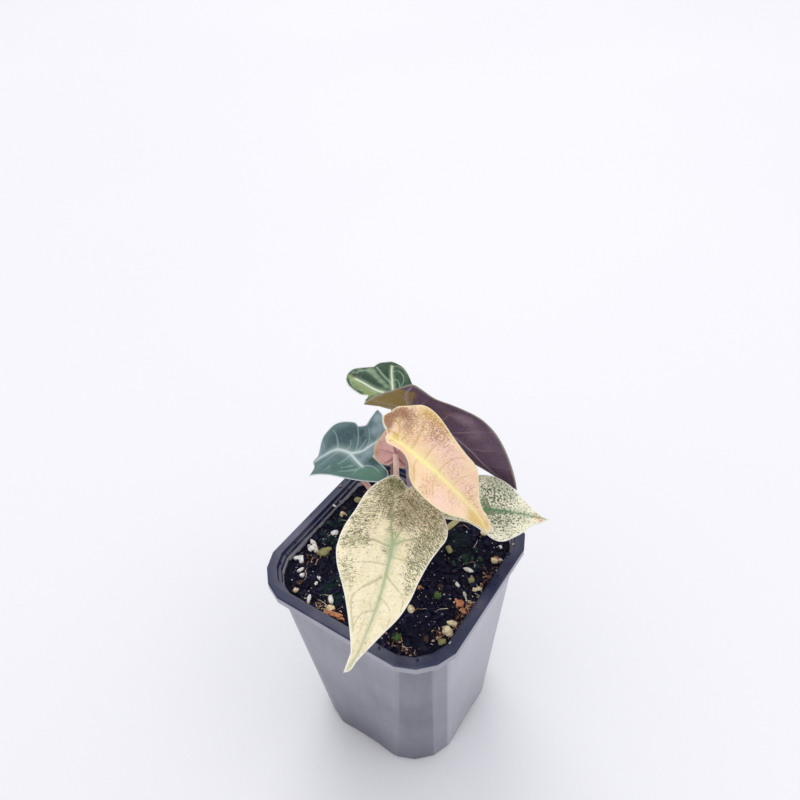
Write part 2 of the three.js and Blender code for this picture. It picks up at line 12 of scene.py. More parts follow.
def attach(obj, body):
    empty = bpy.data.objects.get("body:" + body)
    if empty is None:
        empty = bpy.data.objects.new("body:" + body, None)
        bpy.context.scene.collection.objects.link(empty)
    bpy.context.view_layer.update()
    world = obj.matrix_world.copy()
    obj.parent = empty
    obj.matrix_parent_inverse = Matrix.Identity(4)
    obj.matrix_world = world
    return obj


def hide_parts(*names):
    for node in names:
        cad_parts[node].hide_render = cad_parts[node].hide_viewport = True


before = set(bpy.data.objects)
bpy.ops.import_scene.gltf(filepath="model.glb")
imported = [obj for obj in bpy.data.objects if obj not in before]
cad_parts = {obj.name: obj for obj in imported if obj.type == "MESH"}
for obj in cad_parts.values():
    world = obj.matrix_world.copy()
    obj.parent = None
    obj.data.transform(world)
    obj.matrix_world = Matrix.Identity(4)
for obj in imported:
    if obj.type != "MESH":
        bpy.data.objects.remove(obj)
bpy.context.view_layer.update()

bl_info = {
    "name": "Potted Mask Plant",
    "version": (1, 0, 0),
    "blender": (4, 5, 0),
    "location": "View3D > Sidebar > Mask Plant",
    "description": "Builds a potted young mask plant with seven leaves",
    "category": "Add Mesh",
}

MM = 0.001

# Sizes of the pot and the mix, in millimetres, as in the part's source.
POT_HEIGHT = 86.0
RIM_HALF = 36.0
RIM_CUT = 13.4
BODY_TOP_HALF = 33.5
BODY_TOP_CUT = 11.9
BODY_FOOT_HALF = 27.4
BODY_FOOT_CUT = 14.5
WALL = 1.2
FLOOR = 1.6
CORNER_NEAR = 0.545
CORNER_FAR = 0.195
GAP = 0.3
MIX_LEVEL = 81.6
MIX_ROUGHNESS = 0.9
MOUND_HEIGHT = 1.2
MOUND_SPREAD = 150
STOCK_X = 0.0
STOCK_Y = 3.0
STOCK_TOP = 84.0
STALK_RING = 3.05
ELBOW_REACH = 1.0
ELBOW_DEPTH = 2.0
STALK_CLEAR = 1.15

# Sizes of the finer pieces, in millimetres, and the counts that they are made from. A blade's
# puff is the quilting between its veins, and its cup is the slow bend across it.
BLADE_RINGS = 52
BLADE_SAMPLES = 8
HALF_THICKNESS = 0.2
EDGE_THICKNESS = 0.1
PUFF = 0.3
PUFF_REACH = 1.7
PUFF_LEVEL = 0.12
RING_EASE = 0.85
CUP = 0.05
VEIN_SAMPLES = 5
PUFF_SAMPLES = 4
NORMAL_STEP = 0.05
PLANE_SPAN = 160.0
STALK_SIDES = 20
STALK_SAMPLES = 12
STALK_SINK = 1.2
SHEATH_COUNT = 5
SHEATH_ROWS = 12
SHEATH_COLUMNS = 9
SHEATH_RADIUS = 4.75
SHEATH_THICKNESS = 0.14
BED_CELLS = 170
HAIRS_PER_CUSHION = 70
RIM_CRUMBS = 110
FIBRE_SIDES = 5
FIBRE_STEPS = 12
FIBRE_STRIDE = 0.42
FIBRE_RADIUS = 0.11
LITTER_SIDES = 4

# Where the pot's finish changes, in metres: up its wall, and just inside the rim's side facets,
# the outer facets of its corners and their middle facets.
BAND = (0.0795, 0.0815)
FOLD = (0.0826, 0.0834)
LIP = (0.0851, 0.0857)
SIDE_FACET = (0.0352, 0.0354)
OUTER_FACET = (0.0449, 0.0451)
MIDDLE_FACET = (0.0612, 0.0614)

# Leaf forms, in millimetres and degrees, as in the part's source. The outline runs from the back
# notch round the right half to the tip and on round the left half, with x along the midrib and
# y to its left.
LIFT_REACH = 0.24

LEAVES = {
    "front_cream": {
        "seat": -80, "seat_share": 1, "via": [(2, -3, 98), (7.5, -11, 109)],
        "joint": (12, -18, 116), "turn": -75, "rise": -15, "roll": -10, "length": 38,
        "droop": 20, "back": 10, "fold": 12, "lift": (0, 0), "wave": (0.35, 7, 0.6),
        "right": [(-18.6, -0.9), (-20.8, -4.1), (-21.3, -6.1), (-19.2, -8.5), (-16.2, -10.6),
                  (-11.7, -12.4), (-5.9, -13.4), (-0.1, -14.8), (2.8, -15.1), (5.1, -15),
                  (7.2, -14.7), (11, -13.1), (15.4, -10.1), (18.5, -8.1), (24.3, -5),
                  (28.8, -2.9), (32.6, -1.6), (35, -1.6), (37.6, -2.1)],
        "left": [(37.6, -2.1), (36.4, -0.4), (33.9, 0.5), (31, 2), (25.2, 5.2), (19.5, 8.4),
                 (14, 10.1), (9.8, 10.7), (3.3, 12.1), (-1.9, 13.9), (-4.3, 14.8), (-6.6, 14.9),
                 (-9.2, 13.9), (-13.5, 11.1), (-19.6, 6.6), (-21.4, 4.5), (-21.6, 2.3),
                 (-18.6, -0.9)],
    },
    "center_pink": {
        "seat": -20, "seat_share": 1, "via": [(3.4, 3.6, 104), (4.2, 3.4, 122)],
        "joint": (6, -1, 138), "turn": 2, "rise": -22, "roll": 13, "length": 38,
        "droop": 45, "back": 10, "fold": 22, "lift": (30, 0), "wave": (0.4, 6, 2),
        "right": [(-6, -0.1), (-5.6, -2.4), (-4.8, -4.6), (-3.4, -6.6), (-1.3, -5.4), (1.1, -5.3),
                  (3.2, -6), (4.9, -7.3), (6.3, -8.9), (8.3, -9.7), (11, -10.4), (13.9, -10.8),
                  (17.6, -10.6), (21.3, -9.1), (25.8, -6), (30.3, -3.6), (34.1, -1.9),
                  (38.2, -0.6)],
        "left": [(38.2, -0.6), (37.7, 0.8), (36.1, 1.4), (33.5, 1.9), (30.4, 2.3), (27.9, 3.4),
                 (25.8, 4.8), (23.2, 6.7), (21.2, 8.3), (18.7, 9.2), (15, 9.6), (9.4, 11),
                 (6, 12.3), (3.1, 13.2), (-0.2, 13.5), (-2.6, 12.8), (-5.5, 10.4), (-8.2, 8.2),
                 (-9, 6.3), (-9.9, 4.9), (-10, 3.7), (-8.8, 2.1), (-7.4, 1.2), (-6, -0.1)],
    },
    "rear_purple": {
        "seat": 100, "seat_share": 1, "via": [(0.5, 9, 102), (0.2, 12.5, 119)],
        "joint": (-3, 17.5, 134), "turn": 37, "rise": -36, "roll": -60, "length": 46,
        "droop": 26, "back": 10, "fold": 3, "lift": (0, 0), "wave": (0.4, 6, 4),
        "right": [(-3.5, 4.1), (-5.5, 5.9), (-7.7, 8), (-9.9, 10), (-11.2, 10.9), (-12.4, 10.1),
                  (-12.7, 8.3), (-12.6, 5.7), (-12.5, 1.8), (-12.3, -2.8), (-11.7, -7.2),
                  (-10.7, -10.8), (-9.1, -13.9), (-6, -13.5), (-0.1, -12.6), (5.3, -14.4),
                  (14, -15.7), (20.1, -14.3), (26.2, -12), (33.6, -8.4), (41.9, -3.2), (46, 0.2)],
        "left": [(46, 0.2), (41.6, 3.9), (36.7, 5.8), (31.1, 7.6), (22, 11), (12, 13), (4, 12.5),
                 (-0.5, 9), (-3.5, 4.1)],
    },
    "left_silver": {
        "seat": 220, "seat_share": 1,
        "via": [(-8, 4.4, 91.5), (-16.4, 9.2, 97.6), (-20.8, 8.8, 104.4)],
        "joint": (-23.1, 8.8, 112.5), "turn": 199, "rise": -15, "roll": -31, "length": 22,
        "droop": 30, "back": 10, "fold": 9, "lift": (0, 0), "wave": (0.25, 6, 1),
        "right": [(-8.4, 1.4), (-9.3, -0.3), (-10.7, -1.7), (-12.2, -3.2), (-12.8, -5),
                  (-12.6, -7), (-11.8, -8.7), (-11.2, -10.5), (-11, -12.6), (-10, -14),
                  (-8.9, -14.7), (-7.5, -13.1), (-6.3, -11.3), (-5.3, -9.6), (-3.6, -9.3),
                  (-2.5, -9.4), (-1.2, -10.7), (1.3, -11.3), (4.2, -11.4), (6.8, -10.7),
                  (9.4, -8.9), (11.9, -6.6), (13.3, -3.8), (14.6, -0.8), (16.8, 1.2), (15.3, 3.6),
                  (16.6, 6.5)],
        "left": [(16.6, 6.5), (11.9, 6.7), (6.9, 7.4), (3.1, 8.3), (-0.7, 9.2), (-4.8, 10),
                 (-8.7, 10.5), (-11.8, 10.6), (-13.6, 9.7), (-14.3, 8.1), (-13.6, 6.4),
                 (-11.8, 4.6), (-9.9, 2.9), (-8.4, 1.4)],
    },
    "back_green": {
        "seat": 160, "seat_share": 1, "via": [(-9, 12, 101), (-15, 23.5, 114)],
        "joint": (-18.5, 29.5, 124), "turn": -23, "rise": -15, "roll": -8, "length": 24,
        "droop": 70, "back": 12, "fold": 5, "lift": (0, 0), "wave": (0.35, 6, 3),
        "right": [(-16.3, 1.7), (-17.2, 0.5), (-18.1, -2.3), (-18.2, -5.3), (-17.1, -7.9),
                  (-15.5, -10.1), (-13.7, -11.5), (-11.7, -12), (-9.3, -11.7), (-6.8, -11),
                  (-5.3, -10.5), (-4.4, -8.9), (-3.6, -9.3), (-2.9, -10.6), (-1.5, -11),
                  (-0.2, -7.8), (1.7, -3.9), (3.9, -3.2), (6.4, -5), (9, -6.6), (12, -7.6),
                  (15.4, -7.2), (18.6, -5), (21.3, -1)],
        "left": [(21.3, -1), (20, 3.5), (16.9, 7.3), (12.6, 9.5), (7.3, 9.9), (2.1, 9.6),
                 (-1.6, 9), (-4.7, 9.8), (-8, 10.7), (-10.9, 11.1), (-13.1, 10.8), (-14.6, 10.1),
                 (-15.5, 9), (-16, 6.9), (-16.7, 4.4), (-16.3, 1.7)],
    },
    "right_speckled": {
        "seat": 40, "seat_share": 1, "via": [(6.6, 9, 87.6), (12, 12.6, 92)],
        "joint": (18.5, 13.5, 104), "turn": 28, "rise": 2, "roll": 17, "length": 28,
        "droop": 28, "back": 10, "fold": 16, "lift": (0, 0), "wave": (0.3, 6, 5),
        "right": [(-5.5, 0.2), (-8, -1.4), (-7, -3.4), (-3, -4.2), (0.6, -4.8), (3.5, -6.7),
                  (6, -9), (8, -10.9), (10.2, -11.6), (12.1, -11.2), (15.1, -9.4), (18.4, -6.8),
                  (21.1, -4), (24.5, -2), (28.2, 0.3)],
        "left": [(28.2, 0.3), (25.3, 0.6), (23, 1.7), (19.3, 4.7), (16.7, 7.1), (13.3, 9.5),
                 (9.7, 11.1), (6.2, 11.8), (2.5, 11.7), (-3.2, 10.1), (-8, 7), (-9.6, 3.6),
                 (-8.6, 1.4), (-5.5, 0.2)],
    },
    "young_pink": {
        "seat": 0, "seat_share": 0, "via": [(-2, 6, 102), (-4.2, 8, 111)],
        "joint": (-6.5, 11.5, 118), "turn": -54, "rise": 95, "roll": 0, "length": 12.5,
        "droop": -10, "back": 14, "fold": 5, "lift": (0, 0), "wave": (0.15, 5, 0),
        "right": [(-2.6, -0.4), (-4.2, -2.6), (-3.1, -5.2), (-1.2, -6.8), (1.3, -7),
                  (3.7, -6.6), (8, -3.8), (12.5, -0.6)],
        "left": [(12.5, -0.6), (8.5, 3.2), (4, 5.2), (-1.1, 5), (-4.4, 4.1), (-5.8, 2.5),
                 (-5, 0.6), (-2.6, -0.4)],
    },
}

# Veins of each leaf: half width at the start and at the end, then the points that it passes.
# The first list holds the midrib and the stout ribs, the second the finer veins.
VEINS = {
    "front_cream": (
        [(0.62, 0.14, (0, 0.2), (2.7, 0.5), (8.9, 1.1), (13.9, 1.4), (21.8, 1.3), (26.7, 0.8),
          (31.3, 0.3), (35.4, -0.9), (37.2, -1.8)),
         (0.3, 0.12, (0, 0.1), (-2.1, -0.8), (-4.6, -1.9), (-7.2, -2.7))],
        [(0.34, 0.2, (0, 0.1), (-2.1, -0.8), (-4.6, -1.9), (-7.2, -2.7), (-9.8, -3.3),
          (-12.6, -4), (-15.5, -4.5), (-18.1, -5.1), (-19.8, -5.5)),
         (0.26, 0.14, (0, 0.3), (-1.8, 0.6), (-3.5, 1.1), (-6, 1.6), (-9.1, 2.1), (-12.2, 2.6),
          (-15.7, 3.2), (-18, 3.5)),
         (0.3, 0.18, (1.1, -0.1), (1.2, -1.7), (1, -3.9), (1.1, -6.3), (1.9, -8.4), (3.1, -10.4),
          (4.5, -12.3), (5.7, -13.6)),
         (0.3, 0.18, (0.2, 0.8), (-1.5, 3.1), (-2.7, 5.6), (-4.1, 8.3), (-5.7, 10.5),
          (-7.9, 12.5)),
         (0.2, 0.12, (6.5, 0.4), (7.2, -3.4), (8.3, -7), (9.7, -9.4), (11.5, -10.8)),
         (0.34, 0.18, (10.4, 0), (12.3, -1.7), (13.8, -3.3), (15.8, -4.9), (17.6, -6)),
         (0.22, 0.14, (17.6, -6), (18.9, -6.1), (21.9, -5), (24.4, -3.9), (26.9, -2.8)),
         (0.24, 0.14, (19.8, 1), (20.9, -1.4), (22.4, -2.5), (24.1, -3), (26.3, -3.1)),
         (0.2, 0.12, (9.2, 0.9), (11.2, 3.5), (12.5, 5.7), (13.9, 7.4), (15.4, 8.2), (18.3, 8.2)),
         (0.2, 0.12, (15.9, 1), (16.9, 3.5), (18.8, 5.4), (20.5, 6), (22.9, 5.8)),
         (0.14, 0.1, (4, 0.6), (4.2, 4.3), (4.5, 7.5), (5.5, 9.4), (7, 10.2))]),
    "center_pink": (
        [(0.5, 1, (-4.3, -1.7), (-3.1, -1), (-0.5, -0.3), (2.7, -0.4)),
         (1, 0.12, (2.7, -0.4), (6, -0.3), (9.7, -0.2), (13.7, -0.4), (17.7, -0.4), (21.9, -0.3),
          (25.5, -0.1), (29.6, 0), (34, -0.3), (36.9, -0.7)),
         (0.3, 0.1, (-1.4, 0), (-2.2, 1.1), (-3, 2.3))],
        [(0.3, 0.2, (-1.4, 0), (-2.6, 1.7), (-4, 3.6), (-5.4, 5.5), (-6.7, 7.5)),
         (0.4, 0.2, (-2.5, -0.7), (-3.5, -2.2), (-3.7, -4.6)),
         (0.34, 0.2, (2.3, 0.6), (2, 3.7), (1.4, 6.9), (0.6, 9.9), (-0.4, 12.2)),
         (0.24, 0.14, (-1.4, 1.1), (-1.3, 3.4), (-1.1, 6.1), (-1.3, 8.5), (-2.3, 10.6)),
         (0.24, 0.14, (-2.9, 1.5), (-4.9, 1.5), (-6.1, 0.9)),
         (0.24, 0.14, (-4.8, 4.5), (-7.2, 4.7), (-8.5, 4)),
         (0.22, 0.14, (7.1, 0.3), (6.9, 4.3), (7.6, 7.5), (9.6, 10.1)),
         (0.22, 0.14, (12.3, -0.2), (12.6, 3.7), (13.7, 6.9), (15.4, 8.4)),
         (0.2, 0.12, (18.4, -0.2), (18.6, 3.7), (19.9, 6.2)),
         (0.24, 0.14, (12.5, -0.5), (12.7, -3.5), (13.5, -6.3), (15.2, -8.9)),
         (0.22, 0.14, (5.4, -0.5), (5.6, -3.8), (6.6, -6.2), (8, -8)),
         (0.2, 0.12, (19.8, -0.4), (20.7, -3.4), (22.7, -5.5))]),
    "rear_purple": (
        [(0.7, 0.2, (0, 0), (13, 1), (26.4, 2.5), (31, 3.6), (39.3, 3), (45.4, 0.4)),
         (0.75, 0.3, (0, 0), (-1.8, -1.4), (-4.9, -4.8), (-7.9, -9.4), (-8.6, -12.6)),
         (0.5, 0.25, (0, 0), (-4, 1.2), (-8, 3.4), (-11.4, 5))],
        [(0.34, 0.16, (7, 0.6), (8.9, -4.4), (8.4, -8), (9.6, -13)),
         (0.3, 0.14, (15, 1.2), (17.4, -4), (19.6, -9.4), (21.8, -12.6)),
         (0.3, 0.14, (24, 2.2), (27.3, -3.1), (29.2, -8.6)),
         (0.22, 0.12, (33, 3.6), (35, -0.6), (37, -4.8)),
         (0.3, 0.14, (8, 0.7), (11, 5.4), (14.4, 10.6)),
         (0.26, 0.12, (17, 1.4), (20.6, 5.4), (24, 8.4)),
         (0.26, 0.14, (-1, -0.6), (-0.6, -5), (-1, -10.6)),
         (0.26, 0.14, (-3, 0.9), (-1.4, 5), (0.6, 9)),
         (0.26, 0.14, (-4.9, -4.8), (-8.6, -6.4), (-11.4, -6.6))]),
    "left_silver": (
        [(0.62, 0.2, (0, 0), (2.7, -1.1), (5.6, -1.7), (8.1, -1.3), (10.8, -0.4), (13.6, 0.5),
          (15.6, 1.5)),
         (0.5, 0.18, (0, 0), (-2.2, -0.2), (-4.4, -0.7), (-6.5, -2), (-8.6, -3.2), (-10.7, -4.6),
          (-11.7, -5.6)),
         (0.55, 0.3, (0, 0.2), (-1.8, 2.1), (-3.9, 4.1), (-5, 5))],
        [(0.26, 0.12, (-5, 5), (-6.5, 4.8), (-8.2, 5), (-9.9, 6), (-11.2, 7.4)),
         (0.34, 0.14, (5.3, -1.7), (5.1, -3.3), (5.4, -5.1), (6.1, -7.3), (7.4, -8.8)),
         (0.26, 0.12, (5.1, -1.1), (7.1, 0.2), (9.5, 1.5), (11.9, 2.9), (14, 3.4)),
         (0.26, 0.12, (0.3, 0.7), (1.8, 2.1), (3.3, 3.1), (4.4, 3.5)),
         (0.2, 0.1, (-1.4, 4.5), (1.1, 4.8), (3, 5.1)),
         (0.22, 0.1, (-3.1, 6), (0.5, 6.3), (3.9, 6.3)),
         (0.24, 0.12, (-4.4, 5.1), (-2.8, 6.5), (-1.6, 7.7)),
         (0.2, 0.1, (7.6, 4.2), (9, 4.9), (10.1, 5.5)),
         (0.24, 0.14, (-1.8, -0.9), (-2.3, -2.8), (-2.6, -5.5), (-2.4, -8), (-2.1, -10.1)),
         (0.3, 0.14, (-2.8, -1), (-3.9, -2.2), (-4.8, -3.4), (-5.4, -4.4)),
         (0.24, 0.12, (-5.6, -1.6), (-6.6, -4), (-6.6, -6.4), (-6.3, -8.5)),
         (0.3, 0.14, (-7, -2.3), (-7.4, -3.4), (-7.5, -4.3)),
         (0.2, 0.1, (11.8, -5.9), (11.2, -3.7), (10.7, -1.3)),
         (0.18, 0.1, (1.6, -1.5), (0.3, -2.8), (0.2, -4.7))]),
    "back_green": (
        [(0.6, 0.2, (0, 0), (6, -0.3), (12, -0.6), (17, -0.8), (20.6, -1)),
         (0.62, 0.42, (0.3, 0.3), (-1.8, -1.2), (-3.5, -2.7), (-5.3, -4.4), (-7.3, -5.6),
          (-9.6, -6.6), (-11.3, -7.5), (-12.6, -8.2)),
         (0.42, 0.26, (0.3, 0.3), (-2.1, 0.6), (-4.5, 2), (-7.4, 3.7), (-10.8, 5.8),
          (-13.1, 7.5))],
        [(0.4, 0.24, (-5, 2.2), (-6.5, 2.5), (-8.9, 2.2), (-11.4, 2.1), (-13.5, 2.3),
          (-15.2, 2.4)),
         (0.16, 0.1, (-10.7, 6), (-10.2, 8.2), (-7.3, 8.3), (-4.8, 6.8), (-3.3, 4.5)),
         (0.16, 0.1, (-7, 3.5), (-6.7, 5.1), (-4.7, 4.9), (-2.6, 3.7)),
         (0.18, 0.1, (-13, 7.5), (-12.4, 9.5), (-10.2, 10.4), (-7.1, 9.8)),
         (0.22, 0.12, (-15.4, -6.1), (-16, -4.5), (-15.9, -2.5), (-15.3, -0.4)),
         (0.2, 0.12, (-12.9, -10.1), (-11.2, -10.8), (-8.6, -10.5), (-6.9, -8.7))]),
    "right_speckled": (
        [(0.62, 0.2, (0, 0), (5.3, 0.2), (11.1, 0.5), (16, 0.2), (21.1, 0), (27.6, 0.2)),
         (0.4, 0.2, (0, 0), (-3, -1.2), (-6.4, -2.4)),
         (0.45, 0.2, (0, 0), (-3.4, 2.6), (-7, 4.6))],
        [(0.24, 0.12, (4.6, 0.2), (6, 4), (9, 8.4)),
         (0.22, 0.1, (10, 0.5), (12.4, 3.6), (15.4, 6.4)),
         (0.2, 0.1, (15.6, 0.2), (18, 2.4), (20.6, 3.2)),
         (0.22, 0.1, (5, 0.2), (6.6, -3.4), (9.6, -7.6)),
         (0.22, 0.1, (10.4, 0.4), (12.4, -3), (15, -6.4)),
         (0.2, 0.1, (16, 0.2), (18, -1.8), (20.6, -3.2))]),
    "young_pink": (
        [(0.42, 0.14, (0, 0), (4, -0.2), (8, -0.4), (12.2, -0.6)),
         (0.42, 0.2, (0, 0), (-2, -2), (-3, -4)),
         (0.42, 0.2, (0, 0), (-2.4, 1.4), (-4.6, 3))],
        [(0.24, 0.1, (0.4, 0), (1.8, -3), (3, -5.6)),
         (0.24, 0.1, (1, 0), (2.4, 2.6), (4.4, 4.2)),
         (0.2, 0.1, (5, -0.2), (6.6, -2.2), (8.6, -2.8)),
         (0.2, 0.1, (5, -0.2), (6.6, 1.8), (8.6, 2.2))]),
}

